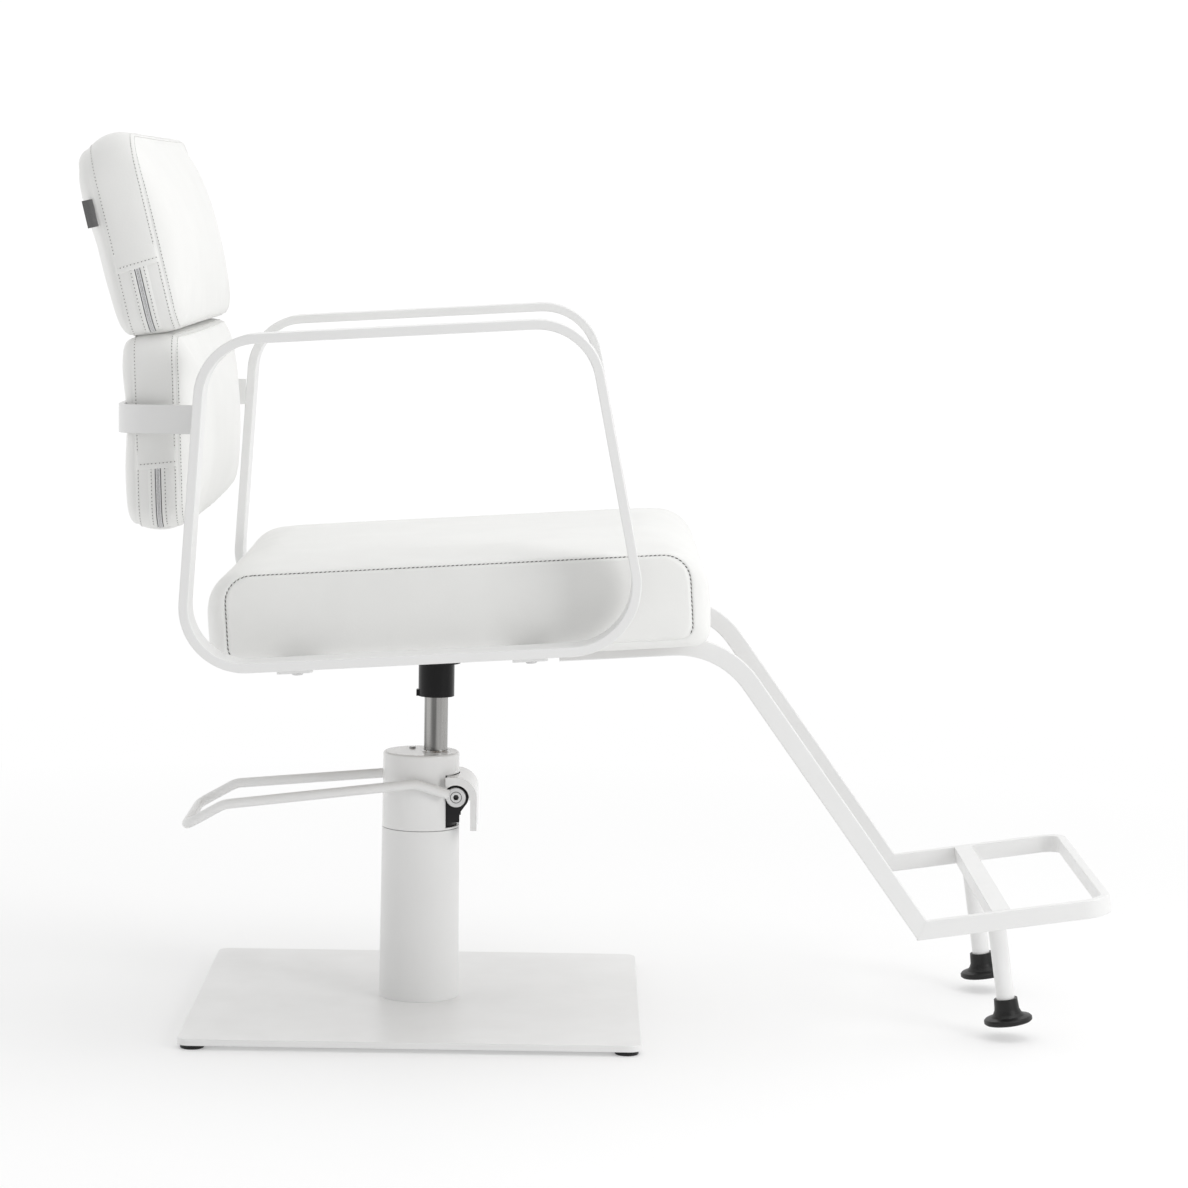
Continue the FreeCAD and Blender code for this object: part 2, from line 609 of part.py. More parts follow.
def rail_outline(inset):
    """The bent rail seen from the side, from its rear end to well past the footrest frame."""
    half = TUBE / 2 - inset
    drop = math.radians(RAIL_DROP)
    along = V(math.cos(drop), 0, -math.sin(drop))
    start = V(RAIL_START_X, 0, -TUBE / 2)
    corner = V(RAIL_CORNER_X, 0, -TUBE / 2)
    end = corner + along * 460
    centre = rounded_wire([start, corner, end], [0, RAIL_BEND_R, 0], closed=False)
    mid_arc = centre.Edges[1].valueAt(sum(centre.Edges[1].ParameterRange) / 2)
    hub = V(centre.Edges[0].Vertexes[-1].X, 0, -TUBE / 2 - RAIL_BEND_R)
    edges = []
    for sign in (1, -1):
        arc_start = V(hub.x, 0, -TUBE / 2 + sign * half)
        middle = hub + (mid_arc - hub).normalize() * (RAIL_BEND_R + sign * half)
        normal = V(math.sin(drop), 0, math.cos(drop))
        arc_end = hub + normal * (RAIL_BEND_R + sign * half)
        edges.append([V(RAIL_START_X, 0, -TUBE / 2 + sign * half), arc_start, middle, arc_end,
                      end + normal * (sign * half)])
    (a0, a1, am, a2, a3), (b0, b1, bm, b2, b3) = edges
    return Part.Wire([Part.makeLine(a0, a1), Part.Arc(a1, am, a2).toShape(), Part.makeLine(a2, a3),
                      Part.makeLine(a3, b3), Part.makeLine(b3, b2), Part.Arc(b2, bm, b1).toShape(),
                      Part.makeLine(b1, b0), Part.makeLine(b0, a0)])


def frame_to_chair(shape):
    """Footrest frame axes: X forward along its side tubes, Z square to its top face."""
    return moved(turned(shape, -FRAME_PITCH), FRAME_CORNER)


def mitre_block():
    """Everything on the frame's side of the mitre between a rail and the frame."""
    rail_angle = RAIL_DROP - SEAT_PITCH
    interior = 180 - rail_angle - FRAME_PITCH
    block = box(0, 900, -400, 400, -900, 900)
    tilt = 90 - interior / 2
    return frame_to_chair(turned(block, tilt))


def footrest_rail(side):
    y0 = side * RAIL_Y - TUBE_WIDTH / 2
    solid = softened(Part.Face(rail_outline(0)).extrude(V(0, TUBE_WIDTH, 0)), TUBE_EDGE_R)
    hollow = Part.Face(rail_outline(TUBE_WALL)).extrude(V(0, TUBE_WIDTH - 2 * TUBE_WALL, 0))
    hollow.translate(V(0, TUBE_WALL, 0))
    plug = box(RAIL_START_X - 1, RAIL_START_X + TUBE_WALL, 0, TUBE_WIDTH, -TUBE, 0)
    rail = solid.cut(hollow.cut(plug))
    rail.translate(V(0, y0, 0))
    for x in RAIL_SCREW_XS:
        centre = V(x, side * RAIL_Y, 0)
        rail = rail.cut(rod(SCREW_R + 0.3, centre - Z_AXIS * 3, centre + Z_AXIS * 1))
        rail = rail.cut(rod(SCREW_ACCESS_R, centre - Z_AXIS * 25, centre - Z_AXIS * 10))
    return seated(rail).cut(mitre_block())


def rail_screws():
    result = []
    for x in RAIL_SCREW_XS:
        for s in (-1, 1):
            base = V(x, s * RAIL_Y, -TUBE_WALL)
            head = rod(SCREW_HEAD_R, base - Z_AXIS * 3.0, base)
            result.append(seated(fused([head, rod(SCREW_R, base, base + Z_AXIS * 10)])))
    return result


def footrest_frame():
    """A U of the same tube: two side bars and a front bar with rounded corners."""
    half = FOOTREST_WIDTH / 2
    rear = -40.0

    def outline(inset):
        reach = FRAME_LENGTH - inset
        y_out = half - inset
        y_in = half - TUBE_WIDTH + inset
        x_in = FRAME_LENGTH - TUBE_WIDTH + inset
        points = [V(rear, -y_out, 0), V(reach, -y_out, 0), V(reach, y_out, 0), V(rear, y_out, 0),
                  V(rear, y_in, 0), V(x_in, y_in, 0), V(x_in, -y_in, 0), V(rear, -y_in, 0)]
        outer_r = FRAME_CORNER_R - inset
        inner_r = FRAME_CORNER_R - TUBE_WIDTH + inset
        return Part.Face(rounded_wire(points, [0, outer_r, outer_r, 0, 0, inner_r, inner_r, 0]))

    solid = outline(0).extrude(V(0, 0, -TUBE))
    solid = solid.makeFillet(TUBE_EDGE_R, [e for e in solid.Edges if e.BoundBox.ZLength < 0.1])
    hollow = outline(TUBE_WALL).extrude(V(0, 0, -(TUBE - 2 * TUBE_WALL)))
    hollow.translate(V(0, 0, -TUBE_WALL))
    frame = frame_to_chair(solid.cut(hollow))
    return frame.common(mitre_block())


def footrest_crossbar():
    reach = FOOTREST_WIDTH / 2 - TUBE_WIDTH
    x0, x1 = CROSSBAR_AT - TUBE / 2, CROSSBAR_AT + TUBE / 2
    wall = TUBE_WALL
    tube = box(x0, x1, -reach, reach, -TUBE, 0)
    hollow = box(x0 + wall, x1 - wall, -reach, reach, -TUBE + wall, -wall)
    return frame_to_chair(tube.cut(hollow))


def footrest_legs():
    legs = []
    for s in (-1, 1):
        top = V(CROSSBAR_AT, s * LEG_Y, -TUBE)
        legs.append(frame_to_chair(rod(LEG_R, top - Z_AXIS * LEG_LENGTH, top)))
    return legs


def footrest_feet():
    """Flared black rubber feet pushed over the leg ends: a straight neck over a thick-rimmed disc."""
    rim = [(FOOT_R - 1.4, 0), (FOOT_R, 1.4), (FOOT_R, 4.4), (FOOT_R - 1.6, 6.0)]
    flare = [(19.0, 7.6), (15.8, 10.4), (13.8, 14.8)]
    neck = [(FOOT_NECK_R, FOOT_HEIGHT), (LEG_R, FOOT_HEIGHT), (LEG_R, FOOT_HEIGHT - FOOT_SOCKET)]
    points = [(0, 0)] + rim + flare + neck + [(0, FOOT_HEIGHT - FOOT_SOCKET), (0, 0)]
    foot = Part.Face(Part.makePolygon([V(r, 0, z) for r, z in points])).revolve(V(0, 0, 0), Z_AXIS, 360)
    bottom = -TUBE - LEG_LENGTH + FOOT_SOCKET - FOOT_HEIGHT
    return [frame_to_chair(moved(foot, V(CROSSBAR_AT, s * LEG_Y, bottom))) for s in (-1, 1)]


# ---- back ---------------------------------------------------------------------------------------

def placed_back(shape, base, lean):
    return moved(turned(shape, -lean), base)


def back_block(rear, height):
    """A plain cushion standing on z = 0, its face towards +X."""
    half = BACK_WIDTH / 2
    outline = [(rear, 0), (BACK_FRONT, 0), (BACK_FRONT, height), (rear, height)]
    block = side_plate(outline, [20, 26, 36, 24], -half, half)
    return block.makeFillet(9, [e for e in block.Edges if e.BoundBox.YLength < 0.1])


BOARD_SLOT_X = -20.0
BACK_BOARD_THICK = 10.0
BACK_BOARD_HALF = 250.0
BACK_BOARD_INSET = 20.0


def back_board(height):
    return box(BOARD_SLOT_X, BOARD_SLOT_X + BACK_BOARD_THICK, -BACK_BOARD_HALF, BACK_BOARD_HALF,
               BACK_BOARD_INSET, height - BACK_BOARD_INSET)


def back_spine(side):
    """A flat steel bar behind both boards, bent where the two cushions meet."""
    y0 = side * SPINE_Y - SPINE_WIDTH / 2
    x0 = BOARD_SLOT_X - SPINE_THICK
    low = box(x0, BOARD_SLOT_X, y0, y0 + SPINE_WIDTH, 40, 260)
    high = box(x0, BOARD_SLOT_X, y0, y0 + SPINE_WIDTH, -60, UPPER_BACK_HEIGHT - 45)
    low = placed_back(low, LOWER_BACK_BASE, LOWER_BACK_LEAN)
    high = placed_back(high, UPPER_BACK_BASE, UPPER_BACK_LEAN)
    low_front = placed_back(box(-300, BOARD_SLOT_X, -400, 400, -400, 700), LOWER_BACK_BASE, LOWER_BACK_LEAN)
    high_front = placed_back(box(-300, BOARD_SLOT_X, -400, 400, -700, 700), UPPER_BACK_BASE, UPPER_BACK_LEAN)
    return fused([low.common(high_front), high.common(low_front)])


def back_band():
    """Flat bar bent into a U round the back of the lower cushion, between the two arm loops."""
    half = LOOP_SPACING / 2 - LOOP_WIDTH / 2
    inner_half, inner_rear = half - BAND_THICK, BAND_REAR_X + BAND_THICK
    points = [V(BAND_FRONT_X, -half, 0), V(BAND_REAR_X, -half, 0),
              V(BAND_REAR_X, half, 0), V(BAND_FRONT_X, half, 0),
              V(BAND_FRONT_X, inner_half, 0), V(inner_rear, inner_half, 0),
              V(inner_rear, -inner_half, 0), V(BAND_FRONT_X, -inner_half, 0)]
    inner_r = BAND_CORNER_R - BAND_THICK
    wire = rounded_wire(points, [0, BAND_CORNER_R, BAND_CORNER_R, 0, 0, inner_r, inner_r, 0])
    band = Part.Face(wire).extrude(V(0, 0, BAND_HEIGHT))
    band.translate(V(0, 0, BAND_Z))
    for place in band_bolt_places():
        band = band.cut(rod(3.3, place, place + X_AXIS * 12))
    return band


def band_bolt_places():
    for s in (-1, 1):
        yield V(BAND_REAR_X - 1, s * SPINE_Y, BAND_Z + BAND_HEIGHT / 2)


def band_bolts():
    """Bolts from behind, through the band and a spacer into the spine bars."""
    result = []
    for place in band_bolt_places():
        base = V(BAND_REAR_X, place.y, place.z)
        head = rod(5.5, base - X_AXIS * 3.5, base)
        head = head.makeFillet(1.5, [e for e in head.Edges if e.BoundBox.XMax < base.x - 3.4])
        shank = rod(3.0, base, base + X_AXIS * 22)
        result.append(fused([head, shank]).cut(rod(2.0, base - X_AXIS * 4, base - X_AXIS * 1.5)))
    return result


ZIP_WIDTH = 7.0
ZIP_THICK = 1.2
TAG_REAR = -34.5
TAG_WIDTH = 16.0
TAG_HEIGHT = 27.0
TAG_THICK = 0.8
TAG_Z = 117.0


def zip_strips(x, top):
    """Zip tape up both ends of a cushion, from its lower edge to the flap that hides the slider."""
    half = BACK_WIDTH / 2
    strip = box(x - ZIP_WIDTH / 2, x + ZIP_WIDTH / 2, half, half + ZIP_THICK, 3, top)
    return both_sides(strip)


def blank_tag():
    """A small folded fabric tag sewn into the rear edge of the upper cushion."""
    half = BACK_WIDTH / 2
    tag = box(TAG_REAR, TAG_REAR + TAG_WIDTH, -half - TAG_THICK, -half, TAG_Z, TAG_Z + TAG_HEIGHT)
    return placed_back(tag, UPPER_BACK_BASE, UPPER_BACK_LEAN)


def cut_all(shape, tools):
    for tool in tools:
        shape = shape.cut(tool)
    return shape


# ---- assembly -----------------------------------------------------------------------------------

save("base_plate", base_plate())
save("base_glides", glides())
save("base_screws", [countersunk_screw(place, M8_R, 15) for place in base_screw_places()])
save("column_tube", column_tube())
save("column_flange", column_flange())
save("column_shroud", column_shroud())
save("shroud_screw", cap_screw())
save("rod_wiper", wiper_ring())
save("pump_cylinder", pump_cylinder())
save("rod_guide", rod_guide())
save("pump_head", pump_head())
save("pivot_pin", pivot_pin())
save("pivot_nut", pivot_nut())
save("pump_plunger", pump_plunger())
save("plunger_spring", plunger_spring())
save("piston_rod", piston_rod())
save("piston_head", piston_head())
save("lever_hub", lever_hub())
save("lever_hood", lever_hood())
save("lever_bar", lever_bar())
save("arm_loop_right", arm_loop(-1))
save("arm_loop_left", arm_loop(1))
save("rear_cross_plate", cross_plate(REAR_CROSS_X))
save("front_cross_plate", cross_plate(FRONT_CROSS_X))
save("mount_plate", mount_plate())
save("loop_bolts", loop_bolts())
save("plate_bolts", plate_bolts())
save("taper_socket", taper_socket())
save("socket_cover", socket_cover())
save("seat_board", seated(seat_board()))
save("seat_cushion", seat_cushion())
save("footrest_rail_right", footrest_rail(-1))
save("footrest_rail_left", footrest_rail(1))
save("rail_screws", rail_screws())
save("footrest_frame", footrest_frame())
save("footrest_crossbar", footrest_crossbar())
save("footrest_legs", footrest_legs())
save("footrest_feet", footrest_feet())

band = back_band()
bolts = band_bolts()
spines = [cut_all(back_spine(s), bolts) for s in (-1, 1)]
low_board = cut_all(placed_back(back_board(LOWER_BACK_HEIGHT), LOWER_BACK_BASE, LOWER_BACK_LEAN), bolts)
high_board = placed_back(back_board(UPPER_BACK_HEIGHT), UPPER_BACK_BASE, UPPER_BACK_LEAN)
low_cushion = placed_back(back_block(LOWER_BACK_REAR, LOWER_BACK_HEIGHT), LOWER_BACK_BASE, LOWER_BACK_LEAN)
high_cushion = placed_back(back_block(UPPER_BACK_REAR, UPPER_BACK_HEIGHT), UPPER_BACK_BASE, UPPER_BACK_LEAN)
save("back_band", band)
save("band_bolts", bolts)
save("back_spines", spines)
save("lower_back_board", low_board)
save("upper_back_board", high_board)
save("lower_back_cushion", cut_all(low_cushion, spines + [low_board] + bolts))
save("upper_back_cushion", cut_all(high_cushion, spines + [high_board]))
save("lower_zip", [placed_back(s, LOWER_BACK_BASE, LOWER_BACK_LEAN) for s in zip_strips(3, 66)])
save("upper_zip", [placed_back(s, UPPER_BACK_BASE, UPPER_BACK_LEAN) for s in zip_strips(-1, 70)])
save("blank_tag", blank_tag())
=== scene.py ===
import json
import math

import bmesh
import bpy
import numpy as np
from mathutils import Matrix, Vector, noise
from mathutils.bvhtree import BVHTree


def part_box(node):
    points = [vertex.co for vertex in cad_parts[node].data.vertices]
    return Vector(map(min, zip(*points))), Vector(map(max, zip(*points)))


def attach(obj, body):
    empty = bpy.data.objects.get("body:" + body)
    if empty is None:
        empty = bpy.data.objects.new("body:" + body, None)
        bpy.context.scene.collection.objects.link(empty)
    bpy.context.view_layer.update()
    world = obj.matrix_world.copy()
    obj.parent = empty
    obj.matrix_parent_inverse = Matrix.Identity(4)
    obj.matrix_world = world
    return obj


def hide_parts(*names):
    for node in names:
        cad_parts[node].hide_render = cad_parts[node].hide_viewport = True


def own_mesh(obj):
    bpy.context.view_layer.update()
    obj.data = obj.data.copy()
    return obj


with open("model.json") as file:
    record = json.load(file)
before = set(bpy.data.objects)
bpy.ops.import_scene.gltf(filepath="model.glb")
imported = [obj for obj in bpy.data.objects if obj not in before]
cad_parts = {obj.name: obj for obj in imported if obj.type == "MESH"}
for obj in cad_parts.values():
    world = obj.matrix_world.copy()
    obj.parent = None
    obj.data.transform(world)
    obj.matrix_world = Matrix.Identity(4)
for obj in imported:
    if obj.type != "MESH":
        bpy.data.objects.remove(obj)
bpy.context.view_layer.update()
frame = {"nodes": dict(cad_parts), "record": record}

# The looks of the styling chair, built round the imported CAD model. Blender works in metres; the
# cushions are laid out in millimetres in a frame of their own (u, v across their panels, w through
# them), and go into the chair through a 4x4 matrix.

MM = 0.001

# ---- driving values -----------------------------------------------------------------------------

SEAT_PITCH = math.radians(3.8)
SEAT_DATUM = Vector((0, 0, 0.4328))
LOWER_BACK_BASE = Vector((-0.285, 0, 0.561))
LOWER_BACK_LEAN = math.radians(2.0)
UPPER_BACK_BASE = Vector((-0.2904, 0, 0.772))
UPPER_BACK_LEAN = math.radians(13.7)

SEAM_DEPTH = 1.0          # how far a seam is pulled in
SEAM_WIDTH = 1.6          # how far from the seam that pull fades
STITCH_OFFSET = 3.3       # topstitching's distance from its seam
STITCH_DEPTH = 0.3        # how far the topstitching pulls the cover in


# ---- materials ----------------------------------------------------------------------------------

class Shader:
    """A node material with its Principled shader and short ways to add textures to it."""

    def __init__(self, name, color, roughness, metallic=0.0, **sockets):
        self.material = bpy.data.materials.new(name)
        self.material.use_nodes = True
        self.material.diffuse_color = (*color, 1)
        self.nodes = self.material.node_tree.nodes
        self.links = self.material.node_tree.links
        self.principled = self.nodes["Principled BSDF"]
        self.set("Base Color", (*color, 1))
        self.set("Roughness", roughness)
        self.set("Metallic", metallic)
        for socket, value in sockets.items():
            self.set(socket.replace("_", " "), value)
        self.color = color
        self.place = self.nodes.new("ShaderNodeTexCoord").outputs["Object"]
        self.normal = None

    def set(self, socket, value):
        self.principled.inputs[socket].default_value = value

    def link(self, output, socket):
        self.links.new(output, socket)

    def scaled(self, scale):
        mapping = self.nodes.new("ShaderNodeMapping")
        mapping.inputs["Scale"].default_value = scale
        self.link(self.place, mapping.inputs["Vector"])
        return mapping.outputs["Vector"]

    def noise(self, scale, detail=2.0, vector=None, distortion=0.0):
        node = self.nodes.new("ShaderNodeTexNoise")
        node.inputs["Scale"].default_value = scale
        node.inputs["Detail"].default_value = detail
        node.inputs["Distortion"].default_value = distortion
        self.link(vector or self.place, node.inputs["Vector"])
        return node.outputs["Fac"]

    def cells(self, scale):
        node = self.nodes.new("ShaderNodeTexVoronoi")
        node.feature = "SMOOTH_F1"
        node.inputs["Scale"].default_value = scale
        self.link(self.place, node.inputs["Vector"])
        return node.outputs["Distance"]

    def wave(self, scale, direction, distortion=0.0):
        node = self.nodes.new("ShaderNodeTexWave")
        node.bands_direction = direction
        node.inputs["Scale"].default_value = scale
        node.inputs["Distortion"].default_value = distortion
        self.link(self.place, node.inputs["Vector"])
        return node.outputs["Fac"]

    def spread(self, value, low, high, start=0.3, end=0.7):
        node = self.nodes.new("ShaderNodeMapRange")
        node.inputs["From Min"].default_value = start
        node.inputs["From Max"].default_value = end
        node.inputs["To Min"].default_value = low
        node.inputs["To Max"].default_value = high
        self.link(value, node.inputs["Value"])
        return node.outputs["Result"]

    def tint(self, value, dark, light, start=0.3, end=0.7):
        """Colour between dark and light as value goes from start to end."""
        ramp = self.nodes.new("ShaderNodeValToRGB")
        ramp.color_ramp.elements[0].position = start
        ramp.color_ramp.elements[0].color = (*dark, 1)
        ramp.color_ramp.elements[1].position = end
        ramp.color_ramp.elements[1].color = (*light, 1)
        self.link(value, ramp.inputs["Fac"])
        return ramp.outputs["Color"]

    def shade(self, value, depth, start=0.3, end=0.7):
        """The base colour, darker by depth where value is low."""
        dark = tuple(c * (1 - depth) for c in self.color)
        self.link(self.tint(value, dark, self.color, start, end), self.principled.inputs["Base Color"])

    def rough(self, value, low, high, start=0.3, end=0.7):
        self.link(self.spread(value, low, high, start, end), self.principled.inputs["Roughness"])

    def bump(self, value, height_mm, strength):
        node = self.nodes.new("ShaderNodeBump")
        node.inputs["Distance"].default_value = height_mm * MM
        node.inputs["Strength"].default_value = strength
        self.link(value, node.inputs["Height"])
        if self.normal is not None:
            self.link(self.normal, node.inputs["Normal"])
        self.normal = node.outputs["Normal"]
        self.link(self.normal, self.principled.inputs["Normal"])

    def hollows(self, reach_mm):
        """1 in the open, falling to 0 inside holes and corners."""
        node = self.nodes.new("ShaderNodeAmbientOcclusion")
        node.inputs["Distance"].default_value = reach_mm * MM
        return node.outputs["AO"]

    def soften_edges(self, radius_mm):
        node = self.nodes.new("ShaderNodeBevel")
        node.samples = 4
        node.inputs["Radius"].default_value = radius_mm * MM
        self.normal = node.outputs["Normal"]
        self.link(self.normal, self.principled.inputs["Normal"])


def powder_coat(name, low, high, peel_mm):
    """White powder coat: a fine orange peel, softened edges and a little handling dust."""
    s = Shader(name, (0.82, 0.82, 0.815), low, Specular_IOR_Level=0.5)
    s.soften_edges(0.7)
    s.bump(s.noise(620, 3), peel_mm, 0.5)
    s.bump(s.noise(2400, 1), 0.012, 0.4)
    s.shade(s.noise(9, 4, distortion=0.6), 0.025)
    s.rough(s.noise(38, 4), low, high)
    return s.material


def leatherette():
    """Coated fabric with a pebbled grain: small cells with creases between, over soft unevenness."""
    s = Shader("white_leatherette", (0.84, 0.84, 0.825), 0.46, Specular_IOR_Level=0.42, Sheen_Weight=0.06,
               Sheen_Roughness=0.4)
    grain = s.cells(560)
    s.bump(s.noise(26, 3), 0.35, 0.35)
    s.bump(grain, 0.10, 0.55)
    s.bump(s.noise(1900, 2), 0.03, 0.5)
    s.shade(s.noise(14, 5, distortion=0.4), 0.03)
    s.rough(grain, 0.40, 0.54, 0.0, 0.6)
    return s.material


def ground_rod():
    """A ground piston rod: fine rings round it, and long light and dark bands down it that are painted
    reflections.
    """
    s = Shader("satin_rod", (0.40, 0.395, 0.385), 0.24, 1.0, Anisotropic=0.3)
    s.bump(s.noise(1.0, 2, s.scaled((60, 60, 5200))), 0.010, 0.6)
    s.rough(s.noise(1.0, 3, s.scaled((420, 420, 14))), 0.15, 0.34)
    # painted reflection: light and dark bands down the rod stand in for reflections of the studio
    s.shade(s.noise(1.0, 2, s.scaled((120, 120, 2))), 0.75, 0.36, 0.60)
    return s.material


def bare_steel(name, color, low, high):
    """Bare or plated steel, with painted shade darkening its colour inside its recesses."""
    s = Shader(name, color, (low + high) / 2, 1.0)
    s.soften_edges(0.25)
    s.bump(s.noise(900, 3), 0.02, 0.5)
    s.rough(s.noise(140, 4), low, high)
    # painted shade: the colour falls nearly to black where ambient occlusion finds holes and corners
    s.shade(s.hollows(6), 0.93, 0.35, 0.85)
    return s.material


def black_steel():
    """Black-painted casting of the pump head and the lever's hub."""
    s = Shader("black_steel", (0.007, 0.007, 0.008), 0.38, Specular_IOR_Level=0.3)
    s.soften_edges(0.5)
    s.bump(s.noise(520, 4), 0.06, 0.6)
    s.rough(s.noise(70, 4), 0.28, 0.5)
    s.shade(s.noise(24, 4), 0.3)
    return s.material


def black_moulding():
    """Black plastic sleeve: fine moulded texture, a little shine."""
    s = Shader("black_moulding", (0.004, 0.004, 0.0045), 0.3, Specular_IOR_Level=0.25)
    s.soften_edges(0.4)
    s.bump(s.noise(1500, 2), 0.02, 0.6)
    s.rough(s.noise(55, 3, s.scaled((1, 1, 0.2))), 0.24, 0.38)
    s.shade(s.noise(30, 3), 0.3)
    return s.material


def black_rubber():
    """Black rubber of the feet and glides, scuffed unevenly."""
    s = Shader("black_rubber", (0.009, 0.009, 0.009), 0.45, Specular_IOR_Level=0.35)
    s.soften_edges(0.4)
    s.bump(s.noise(1100, 3), 0.03, 0.6)
    s.rough(s.noise(45, 4), 0.30, 0.55)
    s.shade(s.noise(20, 4), 0.35)
    return s.material


def bronze():
    """Turned bronze of the rod guide: fine rings round it."""
    s = Shader("bronze_bush", (0.50, 0.33, 0.14), 0.35, 1.0)
    s.bump(s.noise(1.0, 2, s.scaled((80, 80, 3000))), 0.01, 0.6)
    s.rough(s.noise(90, 3), 0.28, 0.46)
    s.shade(s.noise(40, 3), 0.2)
    return s.material


def plywood():
    """Plywood, its colour darkened as painted shade for the shadow under the seat: long grain on the faces.
    """
    # painted shade: the dark base colour and grain tint stand in for the shadow under the seat
    s = Shader("plywood", (0.22, 0.17, 0.12), 0.62)
    grain = s.noise(1.0, 5, s.scaled((14, 150, 420)), 0.5)
    s.link(s.tint(grain, (0.13, 0.095, 0.065), (0.26, 0.20, 0.14)), s.principled.inputs["Base Color"])
    s.bump(grain, 0.08, 0.5)
    s.rough(grain, 0.52, 0.72)
    return s.material


def cloth(name, color, scale, height_mm, sheen=0.25):
    """Plain woven cloth or tape: two crossing sets of threads."""
    s = Shader(name, color, 0.85, Sheen_Weight=sheen)
    s.bump(s.wave(scale, "X"), height_mm, 0.6)
    s.bump(s.wave(scale, "Z"), height_mm, 0.6)
    s.shade(s.noise(scale * 0.6, 3), 0.22)
    return s.material


def thread(name, color):
    """Twisted sewing thread: fine slanting plies."""
    s = Shader(name, color, 0.6, Sheen_Weight=0.3)
    s.bump(s.wave(1500, "DIAGONAL", 0.6), 0.03, 0.8)
    s.shade(s.noise(700, 2), 0.2)
    return s.material


STUDIO_BACK = (-0.35, 0.94, 0.0)      # towards the brightest part of the studio
STUDIO_DIM = 0.47                     # brightness behind the camera
STUDIO_BRIGHT = 1.04                  # brightness behind the chair
STUDIO_TURN = (-0.9, 0.45)            # cosines of the angle to STUDIO_BACK between which it rises


def surroundings(nodes, links, direction):
    """How bright the studio is in a direction: white behind the chair, dimmer towards the camera."""
    facing = nodes.new("ShaderNodeVectorMath")
    facing.operation = "DOT_PRODUCT"
    links.new(direction, facing.inputs[0])
    facing.inputs[1].default_value = STUDIO_BACK
    ramp = nodes.new("ShaderNodeMapRange")
    ramp.interpolation_type = "SMOOTHSTEP"
    ramp.inputs["From Min"].default_value = STUDIO_TURN[0]
    ramp.inputs["From Max"].default_value = STUDIO_TURN[1]
    ramp.inputs["To Min"].default_value = STUDIO_DIM
    ramp.inputs["To Max"].default_value = STUDIO_BRIGHT
    links.new(facing.outputs["Value"], ramp.inputs["Value"])
    return ramp.outputs["Result"]


FLOOR_HALF = 60.0                     # metres from the chair to the floor's edges
LEAST_GLOW = 0.25                     # share of the floor's light that is glow, under the chair
GLOW_BLEND = (0.3, 1.9)               # metres out between which that share rises to all of it
GLOW_FADE = (2.2, 9.0)                # metres out between which the glow goes from 1 to the studio's


def pale_floor():
    """A pale floor that runs out into the studio's own brightness, like the sweep of a cove."""
    s = Shader("pale_floor", (0.95, 0.95, 0.95), 0.55, Specular_IOR_Level=0.2)
    s.bump(s.noise(120, 3), 0.05, 0.2)
    s.shade(s.noise(1.2, 3), 0.012)
    s.rough(s.noise(6, 3), 0.5, 0.62)
    distance = s.nodes.new("ShaderNodeVectorMath")
    distance.operation = "LENGTH"
    s.link(s.place, distance.inputs[0])
    direction = s.nodes.new("ShaderNodeVectorMath")
    direction.operation = "NORMALIZE"
    s.link(s.place, direction.inputs[0])
    glow = s.nodes.new("ShaderNodeEmission")
    strength = s.nodes.new("ShaderNodeMapRange")
    strength.inputs["From Min"].default_value = GLOW_FADE[0]
    strength.inputs["From Max"].default_value = GLOW_FADE[1]
    strength.inputs["To Min"].default_value = 1.0
    s.link(distance.outputs["Value"], strength.inputs["Value"])
    s.link(surroundings(s.nodes, s.links, direction.outputs["Vector"]), strength.inputs["To Max"])
    s.link(strength.outputs["Result"], glow.inputs["Strength"])
    blend = s.nodes.new("ShaderNodeMixShader")
    s.link(s.spread(distance.outputs["Value"], LEAST_GLOW, 1.0, *GLOW_BLEND), blend.inputs["Fac"])
    s.link(s.principled.outputs["BSDF"], blend.inputs[1])
    s.link(glow.outputs["Emission"], blend.inputs[2])
    s.link(blend.outputs["Shader"], s.nodes["Material Output"].inputs["Surface"])
    return s.material


WHITE_STEEL = powder_coat("white_powder_coat", 0.31, 0.43, 0.05)
GLOSSY_STEEL = powder_coat("white_gloss_coat", 0.12, 0.20, 0.025)
LEATHER = leatherette()
LIGHT_THREAD = thread("light_thread", (0.90, 0.90, 0.88))
# painted shade: the dark colour of the needle holes stands in for the shade inside them
NEEDLE_HOLE_SHADE = cloth("needle_hole_shade", (0.22, 0.22, 0.215), 2000, 0.01, 0.0)
DARK_THREAD = thread("dark_thread", (0.085, 0.085, 0.08))
# painted shadow: this dark colour stands in for the shade in the zip's slot between the lips and the coil
ZIP_SLOT_SHADE = cloth("zip_tape_and_slot_shade", (0.10, 0.10, 0.105), 900, 0.04)
ZIP_COIL = cloth("zip_coil", (0.85, 0.85, 0.86), 1400, 0.02, 0.1)
ZIP_WEAVE = cloth("zip_weave", (0.80, 0.80, 0.81), 1100, 0.04, 0.1)
TAG_CLOTH = cloth("tag_cloth", (0.13, 0.13, 0.13), 1500, 0.05)
SLOT_LOOKS = {
    "white_powder_coat": WHITE_STEEL,
    "white_leatherette": LEATHER,
    "satin_rod": ground_rod(),
    "plain_steel": bare_steel("plain_steel", (0.34, 0.34, 0.35), 0.32, 0.5),
    "zinc_hardware": bare_steel("zinc_hardware", (0.66, 0.66, 0.66), 0.22, 0.4),
    "black_steel": black_steel(),
    "black_moulding": black_moulding(),
    "black_rubber": black_rubber(),
    "bronze_bush": bronze(),
    "plywood": plywood(),
    "grey_zip": ZIP_SLOT_SHADE,
    "tag_cloth": TAG_CLOTH,
}


